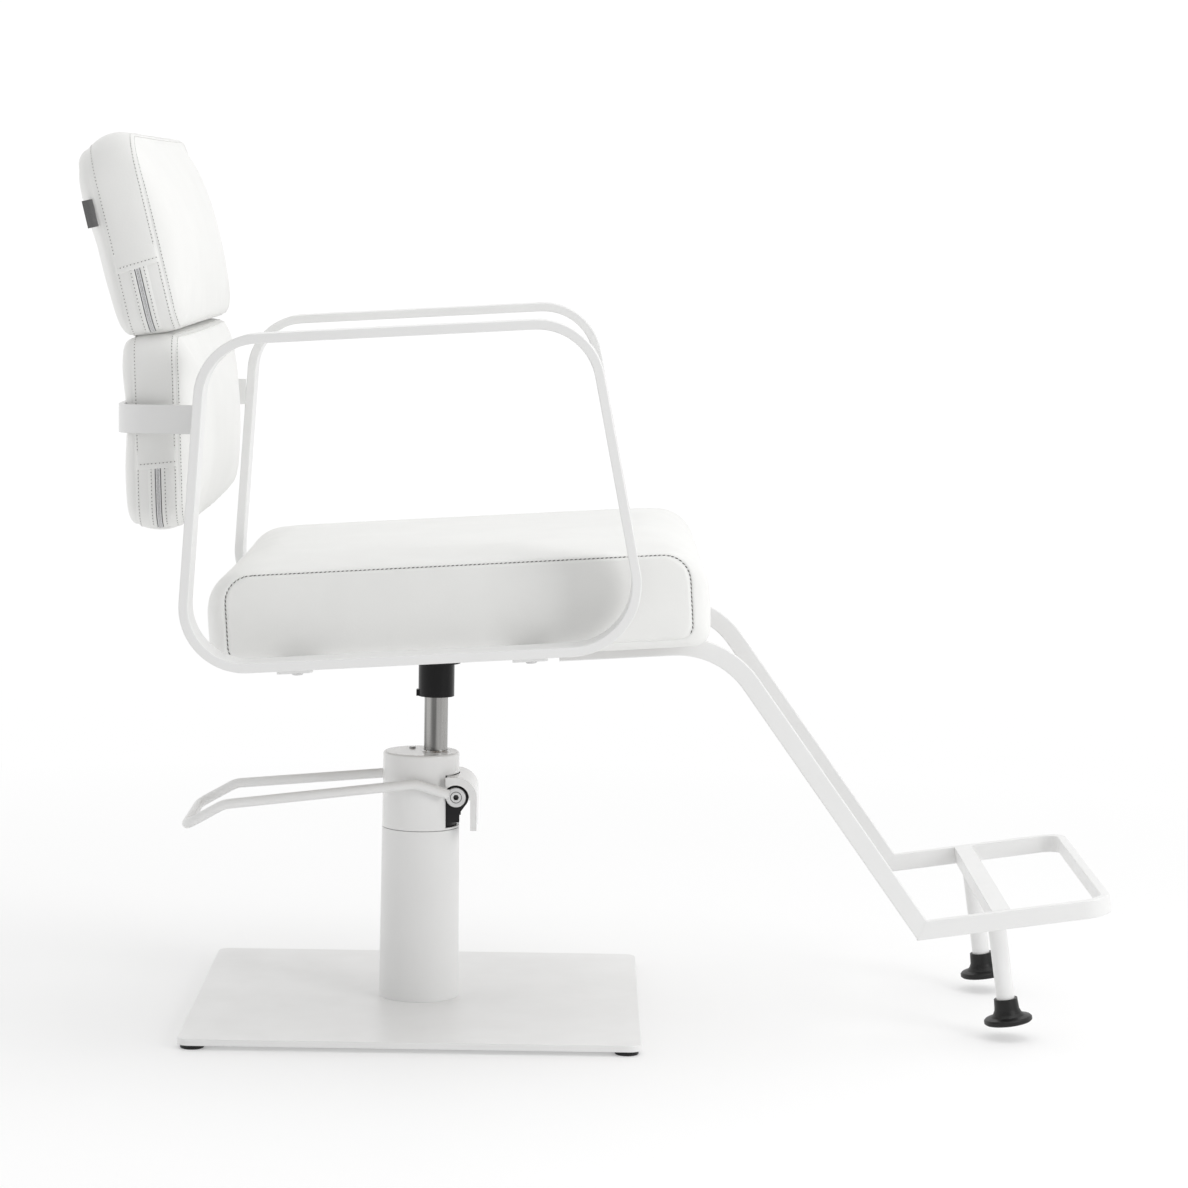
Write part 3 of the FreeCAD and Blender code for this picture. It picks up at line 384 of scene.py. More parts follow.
def dress_cad_nodes():
    slots = {part["node"]: part["material_slot"] for part in frame["record"]["subparts"]}
    for name, node in frame["nodes"].items():
        look = GLOSSY_STEEL if name in ("column_shroud", "lever_hood") else SLOT_LOOKS[slots[name]]
        if not node.material_slots:
            node.data.materials.append(look)
        for place in node.material_slots:
            place.material = look


# ---- meshes -------------------------------------------------------------------------------------

def new_object(name, points, faces, look, smooth=True):
    mesh = bpy.data.meshes.new(name)
    mesh.from_pydata([tuple(p) for p in points], [], [tuple(f) for f in faces])
    mesh.materials.append(look)
    if smooth:
        mesh.shade_smooth()
    obj = bpy.data.objects.new(name, mesh)
    bpy.context.scene.collection.objects.link(obj)
    return obj


SAME_POINT = 0.02         # points closer than this are merged


def tidy_mesh(obj, merge=True):
    """Merge points that coincide, unless told not to, and turn every face outwards."""
    work = bmesh.new()
    work.from_mesh(obj.data)
    if merge:
        bmesh.ops.remove_doubles(work, verts=work.verts, dist=SAME_POINT * MM)
    bmesh.ops.recalc_face_normals(work, faces=work.faces)
    work.to_mesh(obj.data)
    work.free()
    obj.data.update()


def coordinates(mesh):
    flat = np.zeros(len(mesh.vertices) * 3)
    mesh.vertices.foreach_get("co", flat)
    return flat.reshape(-1, 3)


def put_coordinates(mesh, points):
    mesh.vertices.foreach_set("co", np.asarray(points, float).ravel())
    mesh.update()


def grid_faces(rows, columns, closed):
    faces = []
    for r in range(rows - 1):
        for c in range(columns if closed else columns - 1):
            d = (c + 1) % columns
            faces.append((r * columns + c, r * columns + d, (r + 1) * columns + d, (r + 1) * columns + c))
    return faces


def pad_faces(rows, columns):
    """Faces of a thin closed pad. Its points are a grid for the top, then the same for the bottom."""
    faces = grid_faces(rows, columns, False)
    below = rows * columns
    faces += [tuple(below + i for i in reversed(f)) for f in faces]
    rim = list(range(columns))
    rim += [r * columns + columns - 1 for r in range(1, rows)]
    rim += [(rows - 1) * columns + c for c in reversed(range(columns - 1))]
    rim += [r * columns for r in reversed(range(1, rows - 1))]
    return faces + [(a, b, below + b, below + a) for a, b in zip(rim, rim[1:] + rim[:1])]


def surface_of(obj):
    """A tree of the object's own mesh, for finding the nearest point on it."""
    polygons = [tuple(p.vertices) for p in obj.data.polygons]
    return BVHTree.FromPolygons([v.co for v in obj.data.vertices], polygons)


# ---- cushions -----------------------------------------------------------------------------------

SIDE_STEPS = 5
CORNER_STEPS = 7
LONG_STEPS = 52
SEAM_STEPS = (0.0, 1.0, 2.1, 3.3, 4.5, 7.0, 11.0, 16.0, 22.0)
PANEL_STEP = 9.0
BACK_START = 0.45         # how far, in radians, the back's face panels have turned over at the seam


class Outline:
    """A rounded rectangle from (u0, v0) to (u1, v1), in millimetres. It starts in the middle of the
    side at u0, goes up, across to u1 and back along the bottom. radii: upper u0, upper u1, lower u1,
    lower u0. bow pulls the middle of each side in, as a seam under tension does."""

    def __init__(self, u0, u1, v0, v1, radii, bow=0.0):
        middle = (v0 + v1) / 2
        corners = [(u0 + radii[0], v1 - radii[0], radii[0], 180),
                   (u1 - radii[1], v1 - radii[1], radii[1], 90),
                   (u1 - radii[2], v0 + radii[2], radii[2], 0),
                   (u0 + radii[3], v0 + radii[3], radii[3], -90)]
        points, normals = [], []

        def straight(start, end, normal, steps, pull=(0.0, 1.0)):
            for k in range(steps):
                t = k / steps
                across = pull[0] + (pull[1] - pull[0]) * t
                inward = bow * math.sin(math.pi * across)
                points.append([start[0] + (end[0] - start[0]) * t - normal[0] * inward,
                               start[1] + (end[1] - start[1]) * t - normal[1] * inward])
                normals.append(normal)

        def arc(corner):
            cu, cv, radius, first = corner
            for k in range(CORNER_STEPS):
                angle = math.radians(first - 90 * k / CORNER_STEPS)
                normals.append((math.cos(angle), math.sin(angle)))
                points.append([cu + radius * math.cos(angle), cv + radius * math.sin(angle)])

        straight((u0, middle), (u0, v1 - radii[0]), (-1, 0), SIDE_STEPS, (0.5, 1.0))
        arc(corners[0])
        straight((u0 + radii[0], v1), (u1 - radii[1], v1), (0, 1), LONG_STEPS)
        arc(corners[1])
        straight((u1, v1 - radii[1]), (u1, middle), (1, 0), SIDE_STEPS, (0.0, 0.5))
        straight((u1, middle), (u1, v0 + radii[2]), (1, 0), SIDE_STEPS, (0.5, 1.0))
        arc(corners[2])
        straight((u1 - radii[2], v0), (u0 + radii[3], v0), (0, -1), LONG_STEPS)
        arc(corners[3])
        straight((u0, v0 + radii[3]), (u0, middle), (-1, 0), SIDE_STEPS, (0.0, 0.5))
        self.points = np.array(points)
        self.normals = np.array(normals, float)
        self.count = len(points)
        self.half_height = (v1 - v0) / 2
        self.middle_line = self._middle_line(u0, u1, middle)

    def _middle_line(self, u0, u1, middle):
        """For each point, the place on the panel's middle line that its ring shrinks towards."""
        half = self.count // 2
        steps = np.linalg.norm(np.diff(self.points[:half + 1], axis=0), axis=1)
        share = np.concatenate([[0], np.cumsum(steps)]) / steps.sum()
        reach = (u1 - u0) / 2 - self.half_height * 0.9
        line = (u0 + u1) / 2 + reach * (2 * share - 1)
        line = np.concatenate([line, line[1:-1][::-1]])
        return np.stack([line, np.full(self.count, middle)], axis=1)


def rise(values, low, high):
    """0 up to low, 1 from high on, and even between them."""
    return np.clip((values - low) / (high - low), 0, 1)


def rolled(s, reach, start=0.0):
    """A round of radius reach from the angle start to a right angle, then straight on: how far
    along, how high (0 to 1), and how far the surface still has to turn (1 to 0)."""
    angle = min(start + s / reach, math.pi / 2)
    along = reach * (math.cos(start) - math.cos(angle)) + max(0.0, s - reach * (math.pi / 2 - start))
    return along, (math.sin(angle) - math.sin(start)) / (1 - math.sin(start)), math.cos(angle)


def seam_pull(s, stitched=True):
    """How far the cover is drawn in at the distance s from a seam."""
    stitches = STITCH_DEPTH * math.exp(-((s - STITCH_OFFSET) / 0.9) ** 2) if stitched else 0.0
    return SEAM_DEPTH * math.exp(-(s / SEAM_WIDTH) ** 2) + stitches


def steps_to(length):
    """Distances from a seam: close together near it, then even ones as far as length."""
    near = [s for s in SEAM_STEPS if s < length - 3]
    count = max(1, round((length - near[-1]) / PANEL_STEP))
    return near + [near[-1] + (length - near[-1]) * (k + 1) / count for k in range(count)]


def ring_at(seam, points, w):
    """Points of the (u, v) plane as a ring at the depth w."""
    return np.concatenate([points, np.full((seam.count, 1), w)], axis=1)


def inward(seam, share):
    """The seam's points, moved by share of the way to the panel's middle line."""
    return seam.points + (seam.middle_line - seam.points) * share


def rolled_panel(seam, sign, at, height, reach, crown):
    """A face panel that turns over from the gusset and crowns. Rings from its middle to the seam."""
    rings = []
    length = seam.half_height + reach * (math.pi / 2 - BACK_START - math.cos(BACK_START))
    for s in reversed(steps_to(length)[1:]):
        along, rise, turned = rolled(s, reach, BACK_START)
        share = min(along / seam.half_height, 1.0)
        slow = 1 - (1 - share) ** 2
        points = inward(seam, share) - seam.normals * (seam_pull(s) * turned)
        w = at + height * rise + crown * slow - seam_pull(s) * (1 - turned)
        rings.append(ring_at(seam, points, sign * w))
    return rings


def flat_panel(seam, sign, at, reach, crown):
    """A face panel that starts flat at its seam and puffs a little. Rings from its middle to the seam."""
    rings = []
    for s in reversed(steps_to(seam.half_height)[1:]):
        share = s / seam.half_height
        puff = crown * math.sqrt(1 - (1 - min(s / reach, 1.0)) ** 2)
        w = at + puff - seam_pull(s, False)
        rings.append(ring_at(seam, inward(seam, share), sign * w))
    return rings


def flat_gusset(seam, middle, front_at, rear_at):
    """The band between two face panels, puffed towards the middle outline. Rings from seam to seam."""
    width = front_at + rear_at
    half = steps_to(width / 2)
    stations = half + [width - s for s in reversed(half[:-1])]
    rings = []
    for s in stations:
        from_seam = min(s, width - s)
        puff = 1 - (1 - from_seam / (width / 2)) ** 2
        points = seam.points + (middle.points - seam.points) * puff - seam.normals * seam_pull(from_seam)
        rings.append(ring_at(seam, points, front_at - s))
    return rings


def rolled_gusset(seam, middle, at, reach, crown):
    """The long wrap of the seat: it rolls over from each side's seam and crowns between them."""
    length = at + reach * (math.pi / 2 - 1)
    half = steps_to(length)
    stations = [(s, 1) for s in half] + [(s, -1) for s in reversed(half[:-1])]
    rings = []
    for s, sign in stations:
        along, rise, turned = rolled(s, reach)
        slow = 1 - (1 - min(along / at, 1.0)) ** 2
        points = seam.points + (middle.points - seam.points) * rise
        pull = seam_pull(s, False)
        points = points - seam.normals * (pull * rise)
        points[:, 1] += crown * slow * np.clip(seam.normals[:, 1], 0, 1)
        rings.append(ring_at(seam, points, sign * (at - along - pull * turned)))
    return rings


CLOTH_STEPS = 20
CLOTH_SETTINGS = {
    "quality": 6,
    "mass": 0.35,
    "tension_stiffness": 22,
    "compression_stiffness": 22,
    "shear_stiffness": 12,
    "bending_stiffness": 1.4,
    "vertex_group_mass": "held",
    "use_pressure": True,
    "uniform_pressure_force": 4.0,
}


def puffed(obj, pinned, cap):
    """Blow the cover up a little with Cloth, seams held, and keep the result as the object's mesh."""
    before = coordinates(obj.data)
    group = obj.vertex_groups.new(name="held")
    for index, weight in enumerate(pinned):
        if weight > 0:
            group.add([index], float(weight), "REPLACE")
    cloth_modifier = obj.modifiers.new("Cloth", "CLOTH")
    settings = cloth_modifier.settings
    for setting, value in CLOTH_SETTINGS.items():
        setattr(settings, setting, value)
    settings.effector_weights.gravity = 0.0
    scene = bpy.context.scene
    for step in range(1, CLOTH_STEPS + 1):
        scene.frame_set(step)
    graph = bpy.context.evaluated_depsgraph_get()
    after = coordinates(obj.evaluated_get(graph).data)
    obj.modifiers.clear()
    obj.vertex_groups.clear()
    scene.frame_set(1)
    travel = after - before
    distance = np.linalg.norm(travel, axis=1, keepdims=True)
    travel *= np.minimum(1.0, cap / np.maximum(distance, 1e-9))
    put_coordinates(obj.data, before + travel)


def subdivided(obj):
    """One level of subdivision, applied to the mesh."""
    modifier = obj.modifiers.new("Subdivision", "SUBSURF")
    modifier.levels = modifier.render_levels = 1
    graph = bpy.context.evaluated_depsgraph_get()
    mesh = bpy.data.meshes.new_from_object(obj.evaluated_get(graph))
    obj.modifiers.clear()
    old = obj.data
    obj.data = mesh
    bpy.data.meshes.remove(old)
    obj.data.shade_smooth()


PUCKER_HEIGHT = 0.55
PUCKER_WAVE = 17.0        # length of the larger ripples
PUCKER_REACH = 16.0       # distance from the seam over which they fade
PUCKER_START = 3.0        # distance from the seam at which they are full


def gather(obj, seam_paths):
    """Small irregular puckers that fade away from the seams."""
    height, wave, reach = PUCKER_HEIGHT * MM, PUCKER_WAVE * MM, PUCKER_REACH * MM
    path_points = [Vector(p) for path in seam_paths for p in path]
    segments = [(i, i + 1, i + 1) for i in range(len(path_points) - 1)]
    tree = BVHTree.FromPolygons(path_points, segments, epsilon=0.0)
    mesh = obj.data
    points = coordinates(mesh)
    normals = np.zeros(len(points) * 3)
    mesh.vertices.foreach_get("normal", normals)
    normals = normals.reshape(-1, 3)
    moved = points.copy()
    for i, p in enumerate(points):
        hit = tree.find_nearest(Vector(p), reach * 3)
        if hit[0] is None:
            continue
        fade = math.exp(-hit[3] / reach) * min(1.0, hit[3] / (PUCKER_START * MM))
        ripple = noise.noise(Vector(p) / wave) + 0.5 * noise.noise(Vector(p) / (wave * 0.45))
        moved[i] += normals[i] * (height * fade * ripple)
    put_coordinates(mesh, moved)


def build_cushion(name, rings, seam_rings, transform, held, cap, floor=None):
    """Skin the rings, puff them, subdivide, pucker, and move the cushion into the chair."""
    count = len(rings[0])
    points = np.concatenate(rings) * MM
    obj = new_object(name, points, grid_faces(len(rings), count, True), LEATHER)
    seams = [rings[k] * MM for k in seam_rings]
    tidy_mesh(obj)
    puffed(obj, held(coordinates(obj.data) / MM, seams), cap * MM)
    subdivided(obj)
    gather(obj, seams)
    if floor is not None:
        put_coordinates(obj.data, floor(coordinates(obj.data)))
    surface = surface_of(obj)
    obj.data.transform(transform)
    return obj, surface


def held_near_seams(near, far, also=None):
    """Pin weights: all of it within near of a seam, none past far, both in millimetres."""
    def weights(points, seams):
        lines = np.concatenate(seams) / MM
        out = np.zeros(len(points))
        for i, p in enumerate(points):
            distance = math.sqrt(((lines - p) ** 2).sum(axis=1).min())
            out[i] = min(1.0, max(0.0, (far - distance) / (far - near)))
        if also is not None:
            out = np.maximum(out, also(points))
        return out
    return weights


# ---- stitching, flaps and zips ------------------------------------------------------------------

STITCH_RINGS = 5
STITCH_SIDES = 6
HOLE_SIDES = 6
# Each needle hole is a dark disc just off the cover, painted shade for the hole.
HOLE_SIZE = (0.7, 0.6)    # half length and half width of a needle hole
HOLE_LIFT = (0.04, 0.12)  # how far its rim and its middle stand off the cover


def spaced(path, pitch, closed):
    """Points at equal distances along a path, each with its direction."""
    path = np.asarray(path, float)
    if closed:
        path = np.concatenate([path, path[:1]])
    lengths = np.linalg.norm(np.diff(path, axis=0), axis=1)
    total = np.concatenate([[0], np.cumsum(lengths)])
    count = int(total[-1] // pitch)
    for k in range(count):
        distance = (k + 0.5) * total[-1] / count
        i = min(np.searchsorted(total, distance) - 1, len(lengths) - 1)
        t = (distance - total[i]) / max(lengths[i], 1e-9)
        yield Vector(path[i] + (path[i + 1] - path[i]) * t), Vector(path[i + 1] - path[i]).normalized()


def stitch_row(name, paths, surface, transform, look, pitch=3.7, length=2.5, radius=0.6, slant=0.0,
               lift=0.2, closed=False):
    """A row of thread: each stitch is a small spindle, with a dark disc at its ends as painted shade for
    the needle holes.
    """
    spindle = []
    for r in range(STITCH_RINGS):
        along = -1 + 2 * r / (STITCH_RINGS - 1)
        girth = math.sqrt(max(0.0, 1 - (along * 0.97) ** 2))
        for k in range(STITCH_SIDES):
            angle = 2 * math.pi * k / STITCH_SIDES
            across = girth * radius
            spindle.append((along * length / 2, across * math.cos(angle), across * math.sin(angle)))
    # painted shade: a small dark disc stands in for the shade inside the needle hole
    hole = []
    for k in range(HOLE_SIDES):
        angle = 2 * math.pi * k / HOLE_SIDES
        hole.append((pitch / 2 + HOLE_SIZE[0] * math.cos(angle), HOLE_SIZE[1] * math.sin(angle),
                     HOLE_LIFT[0] - lift))
    hole.append((pitch / 2, 0.0, HOLE_LIFT[1] - lift))
    template = np.array(spindle + hole) * MM
    one = grid_faces(STITCH_RINGS, STITCH_SIDES, True)
    one.append(tuple(range(STITCH_SIDES))[::-1])
    one.append(tuple(range((STITCH_RINGS - 1) * STITCH_SIDES, STITCH_RINGS * STITCH_SIDES)))
    dark_from = len(one)
    first = len(spindle)
    one += [(first + k, first + (k + 1) % HOLE_SIDES, first + HOLE_SIDES) for k in range(HOLE_SIDES)]
    points, faces = [], []
    for path in paths:
        for place, direction in spaced(path, pitch * MM, closed):
            spot, normal, _, _ = surface.find_nearest(place)
            direction = direction - normal * direction.dot(normal)
            direction.normalize()
            direction.rotate(Matrix.Rotation(slant, 3, normal))
            side = normal.cross(direction)
            basis = np.array([direction, side, normal])
            base = len(points) * len(template)
            points.append(template @ basis + np.array(spot + normal * (lift * MM)))
            faces += [tuple(base + i for i in f) for f in one]
    obj = new_object(name, np.concatenate(points), faces, look)
    obj.data.materials.append(NEEDLE_HOLE_SHADE)
    indices = [int(k % len(one) >= dark_from) for k in range(len(faces))]
    obj.data.polygons.foreach_set("material_index", indices)
    obj.data.transform(transform)
    return obj


def side_point(surface, side, v, w, lift):
    """The point of a cushion's end at height v and depth w, lifted off it, all in millimetres."""
    start = Vector((side * 400 * MM, v * MM, w * MM))
    spot, normal, _, _ = surface.ray_cast(start, Vector((-side, 0, 0)))
    if spot is None:
        spot, normal, _, _ = surface.find_nearest(Vector((side * BACK_MIDDLE_HALF * MM, v * MM, w * MM)))
    return spot + normal * (lift * MM)


PATCH_ROOT = -0.8         # how far a patch's underside is sunk into the cover


def patch(name, surface, side, rows, columns, lift_at, transform, look, slope=0.0):
    """A thin closed pad lying on a cushion's end: rows of v, columns of w, lifted by lift_at(r, c).
    slope raises each row towards the front."""
    top, bottom = [], []
    for r, v in enumerate(rows):
        for c, w in enumerate(columns):
            top.append(side_point(surface, side, v + slope * w, w, lift_at(r, c)))
            bottom.append(side_point(surface, side, v + slope * w, w, PATCH_ROOT))
    obj = new_object(name, top + bottom, pad_faces(len(rows), len(columns)), look)
    tidy_mesh(obj, merge=False)
    obj.data.transform(transform)
    return obj


FLAP_HEIGHT = 34.0
FLAP_LIFT = 1.8
FLAP_ROOT = -0.7          # lift of the flap's outer edges, which are sunk into the cover
FLAP_SLOPE = 0.07
FLAP_FLAT = 6.0           # how far above its edge the flap starts to merge into the cover
FLAP_INSET = 0.8          # gap between the flap's ends and the cushion's seams
FLAP_ROUNDING = (0.75, 0.94, 1.0)          # share of the lift in the rows next to the flap's edge
FLAP_ENDS = (0.0, 0.45, 0.85, 1.0)         # share of the lift in the columns next to each end
FLAP_STITCH_AT = 5.5      # height of the flap's topstitching above its edge
ZIP_HALF = 3.1
ZIP_PITCH = 1.5
ZIP_ROWS = 31
ZIP_STITCH_AT = 7.0       # distance of the zip's topstitching from its middle
LIP_PROFILE = ((0.0, -0.5), (0.05, 0.55), (0.5, 1.15), (1.4, 1.3), (4.0, 0.9), (6.5, 0.3), (9.0, -0.6))
SLOT_LIFT = 0.15
TAPE_PROFILE = ((0.8, 0.2), (0.9, 1.1), (1.6, 1.25), (2.2, 1.15), (2.3, 0.2))
COIL_PROFILE = ((-0.7, 0.2), (-0.6, 1.0), (-0.25, 1.3), (0.25, 1.3), (0.6, 1.0), (0.7, 0.2))
COIL_HALF = 0.34          # half the thickness of one loop of the coil
COIL_REACH = 0.2          # how far the loops stand to either side in turn


def flap(name, surface, side, edge, w_rear, w_front, transform):
    """The end of the upper strip of the gusset, which laps over the top of the zip."""
    rows = [edge, edge + 0.35, edge + 1.2, edge + 4] + [edge + FLAP_HEIGHT * k / 6 for k in range(2, 7)]
    middle = list(np.linspace(w_rear + 4, w_front - 4, 9))
    columns = [w_rear, w_rear + 1, w_rear + 2.2] + middle + [w_front - 2.2, w_front - 1, w_front]

    def lift_at(r, c):
        rounding = FLAP_ROUNDING[min(r, 2)]
        fade = 1 - min(1.0, max(0.0, (rows[r] - edge - FLAP_FLAT) / (FLAP_HEIGHT - 2 * FLAP_FLAT)))
        ends = FLAP_ENDS[min(c, len(columns) - 1 - c, 3)]
        return FLAP_ROOT + (FLAP_LIFT - FLAP_ROOT) * rounding * fade * ends

    return patch(name, surface, side, rows, columns, lift_at, transform, LEATHER, FLAP_SLOPE)


def zip_lips(name, surface, side, at, low, high, transform):
    """Folded edges of the cover on both sides of a zip."""
    rows = list(np.linspace(low, high, ZIP_ROWS))
    pieces = []
    for sign in (-1, 1):
        columns = [at + sign * (ZIP_HALF + offset) for offset, _ in LIP_PROFILE]
        pieces.append(patch(name, surface, side, rows, columns, lambda r, c: LIP_PROFILE[c][1], transform,
                            LEATHER))
    return pieces


def zip_tape_and_slot_shade(name, surface, side, at, low, high, transform):
    """A dark sheet in the slot under a zip, painted shadow for the gaps between the lips and the coil, and
    the woven tapes that show on both sides of its coil.
    """
    rows = list(np.linspace(low, high, ZIP_ROWS))
    # painted shadow: a dark sheet across the slot
    slot = [at + x for x in (-ZIP_HALF - 0.6, -ZIP_HALF * 0.5, 0, ZIP_HALF * 0.5, ZIP_HALF + 0.6)]
    pieces = [patch(name, surface, side, rows, slot, lambda r, c: SLOT_LIFT, transform, ZIP_SLOT_SHADE)]
    for sign in (-1, 1):
        tape = [at + sign * x for x, _ in TAPE_PROFILE]
        pieces.append(patch(name, surface, side, rows, tape, lambda r, c: TAPE_PROFILE[c][1], transform,
                            ZIP_WEAVE))
    return pieces


def zip_teeth(name, surface, side, at, low, high, transform):
    """Interlocked coil: alternating flat loops along the middle of the tape."""
    points, faces = [], []
    count = len(COIL_PROFILE)
    for k in range(2 * int((high - low) / ZIP_PITCH)):
        v = low + (k + 0.5) * ZIP_PITCH / 2
        reach = COIL_REACH if k % 2 else -COIL_REACH
        near = len(points)
        far = near + count
        for dv in (-COIL_HALF, COIL_HALF):
            for dw, lift in COIL_PROFILE:
                points.append(side_point(surface, side, v + dv, at + reach + dw, lift))
        faces += [(near + i, near + i + 1, far + i + 1, far + i) for i in range(count - 1)]
        faces.append(tuple(range(near, far))[::-1])
        faces.append(tuple(range(far, far + count)))
        faces.append((near, far, far + count - 1, far - 1))
    obj = new_object(name, points, faces, ZIP_COIL)
    tidy_mesh(obj)
    obj.data.transform(transform)
    return obj


def joined(name, objects):
    """One object out of several, named for what it is."""
    bpy.ops.object.select_all(action="DESELECT")
    for obj in objects:
        obj.select_set(True)
    bpy.context.view_layer.objects.active = objects[0]
    bpy.ops.object.join()
    objects[0].name = name
    objects[0].data.name = name
    return objects[0]


# ---- seat ---------------------------------------------------------------------------------------

SEAT_SEAM_AT = 276.0
SEAT_ROLL = 24.0
SEAT_SAG = 6.5
SEAT_TOP_CROWN = 3.0
SIDE_CROWN = 4.0
SIDE_CROWN_REACH = 38.0   # distance from the seam over which a side panel puffs out
PUFF_CAP = 6.0            # the most that the cloth may move any point
HELD_UP, FREE = 228.0, 250.0                # distances out from the middle: on the rails, and clear of them
PLATES_AT = (-136.0, 109.0)
PLATE_HELD_UP, PLATE_FREE = 20.0, 46.0      # the same for a cross plate
REST_GAP = 0.15


def seat_transform():
    """From the seat's (u, v, w) into the chair: u runs forwards, v up and w to the client's right."""
    forward = Vector((math.cos(SEAT_PITCH), 0, math.sin(SEAT_PITCH)))
    up = Vector((-math.sin(SEAT_PITCH), 0, math.cos(SEAT_PITCH)))
    right = Vector((0, -1, 0))
    return Matrix.Translation(SEAT_DATUM) @ Matrix((forward, up, right)).transposed().to_4x4()


def seat_floor(u, w):
    """How low the cover may hang: free outside the frame, resting on the cross plates and the rails."""
    free = rise(np.abs(w), HELD_UP, FREE)
    for plate in PLATES_AT:
        free = free * rise(np.abs(u - plate), PLATE_HELD_UP, PLATE_FREE)
    return REST_GAP - SEAT_SAG * free * free * (3 - 2 * free)


def make_seat():
    """The seat cushion: a wrap over the front, top, rear and bottom between two side panels."""
    seam = Outline(-209.5, 281.0, 5.0, 94.5, (28, 28, 14, 14))
    middle = Outline(-231, 300, -SEAT_SAG, 100.5, (42, 42, 18, 18))
    rings = flat_panel(seam, 1, SEAT_SEAM_AT, SIDE_CROWN_REACH, SIDE_CROWN)
    first = len(rings)
    rings += rolled_gusset(seam, middle, SEAT_SEAM_AT, SEAT_ROLL, SEAT_TOP_CROWN)
    last = len(rings) - 1
    rings += list(reversed(flat_panel(seam, -1, SEAT_SEAM_AT, SIDE_CROWN_REACH, SIDE_CROWN)))

    def bottom(points):
        return (points[:, 1] < 3).astype(float)

    def rest_on_frame(points):
        points[:, 1] = np.maximum(points[:, 1], seat_floor(points[:, 0] / MM, points[:, 2] / MM) * MM)
        return points

    transform = seat_transform()
    seat, surface = build_cushion("seat_upholstery", rings, (first, last), transform,
                                  held_near_seams(5, 15, bottom), PUFF_CAP, rest_on_frame)
    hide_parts("seat_cushion")
    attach(seat, "seat")

    half = seam.count // 2
    paths = []
    for index in (first, last):
        line = rings[index][:half + SIDE_STEPS + 4] * MM
        before = rings[index][-(SIDE_STEPS + 4):] * MM
        paths.append(np.concatenate([before, line]))
    row = stitch_row("seat_seam_stitching", paths, surface, transform, DARK_THREAD,
                     pitch=4.6, length=3.4, radius=0.55, slant=0.22, lift=0.3)
    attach(row, "seat")


# ---- back ---------------------------------------------------------------------------------------

BACK_SEAM_HALF = 279.0
BACK_MIDDLE_HALF = 283.0


def back_transform(base, lean):
    """From a back cushion's (u, v, w) into the chair: u runs to the left, v up and w forwards."""
    forward = Vector((math.cos(lean), 0, math.sin(lean)))
    up = Vector((-math.sin(lean), 0, math.cos(lean)))
    left = Vector((0, 1, 0))
    return Matrix.Translation(base) @ Matrix((left, up, forward)).transposed().to_4x4()


def make_back(name, base, lean, front_at, rear_at, heights, radii, front, rear, zip_at, flap_edge, shape):
    """One back cushion: front and rear panels with a gusset between them, zipped at both ends.
    heights gives the seam's and then the gusset's lower and upper limits; front and rear give each
    panel's roll height, roll radius and crown; shape moves the finished rings."""
    seam_low, seam_high, low, high = heights
    seam = Outline(-BACK_SEAM_HALF, BACK_SEAM_HALF, seam_low, seam_high, radii, bow=1.5)
    middle = Outline(-BACK_MIDDLE_HALF, BACK_MIDDLE_HALF, low, high, tuple(r + 5 for r in radii), bow=0.5)
    rings = rolled_panel(seam, 1, front_at, *front)
    first = len(rings)
    rings += flat_gusset(seam, middle, front_at, rear_at)
    last = len(rings) - 1
    rings += list(reversed(rolled_panel(seam, -1, rear_at, *rear)))
    for ring in rings:
        shape(ring)
    transform = back_transform(base, lean)
    cushion, surface = build_cushion(name + "_upholstery", rings, (first, last), transform,
                                     held_near_seams(5, 14), PUFF_CAP)
    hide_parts(name + "_cushion")
    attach(cushion, "seat")

    rows = []
    for index, step in ((first, 1), (first, -1), (last, -1)):
        rows.append(rings[index + step * SEAM_STEPS.index(STITCH_OFFSET)] * MM)
    stitching = stitch_row(name + "_topstitching", rows, surface, transform, LIGHT_THREAD, closed=True)
    strips, flaps, tapes, lines = [], [], [], []
    zip_low, zip_high = low + 3.0, flap_edge + 4
    flap_ends = (-rear_at + FLAP_INSET, front_at - FLAP_INSET)
    for side in (-1, 1):
        flaps.append(flap(name + "_flap", surface, side, flap_edge, *flap_ends, transform))
        strips += zip_lips(name + "_zip_lips", surface, side, zip_at, zip_low, zip_high, transform)
        tapes += zip_tape_and_slot_shade(name + "_zip_tape_and_slot_shade", surface, side, zip_at, zip_low, zip_high, transform)
        tapes.append(zip_teeth(name + "_zip_teeth", surface, side, zip_at, zip_low, zip_high, transform))
        for offset in (-ZIP_STITCH_AT, ZIP_STITCH_AT):
            lines.append([side_point(surface, side, v, zip_at + offset, 0.5)
                          for v in np.linspace(zip_low + 2, flap_edge, 12)])
        lines.append([side_point(surface, side, flap_edge + FLAP_STITCH_AT + FLAP_SLOPE * w, w, 2.0)
                      for w in np.linspace(-rear_at + 4, front_at - 4, 10)])
    leather = joined(name + "_flaps_and_lips", flaps + strips)
    inverse = transform.inverted()
    local = BVHTree.FromPolygons([inverse @ v.co for v in leather.data.vertices],
                                 [tuple(p.vertices) for p in leather.data.polygons])
    zip_stitching = stitch_row(name + "_zip_stitching", lines, local, transform, LIGHT_THREAD)
    for part in (stitching, leather, zip_stitching):
        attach(part, "seat")
    zipper = joined(name + "_zippers", tapes)
    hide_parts(name.replace("_back", "") + "_zip")
    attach(zipper, "seat")


BACK_HALF_WIDTH = 290.0
BAND_AT = 117.0           # height of the steel band on the lower cushion
BAND_SPREAD = 24.0
BAND_PRESS = 5.0          # how far it presses the rear panel in

# In the two shapes below u, v and w are views of the ring, so each line sees what the one before it
# has moved.


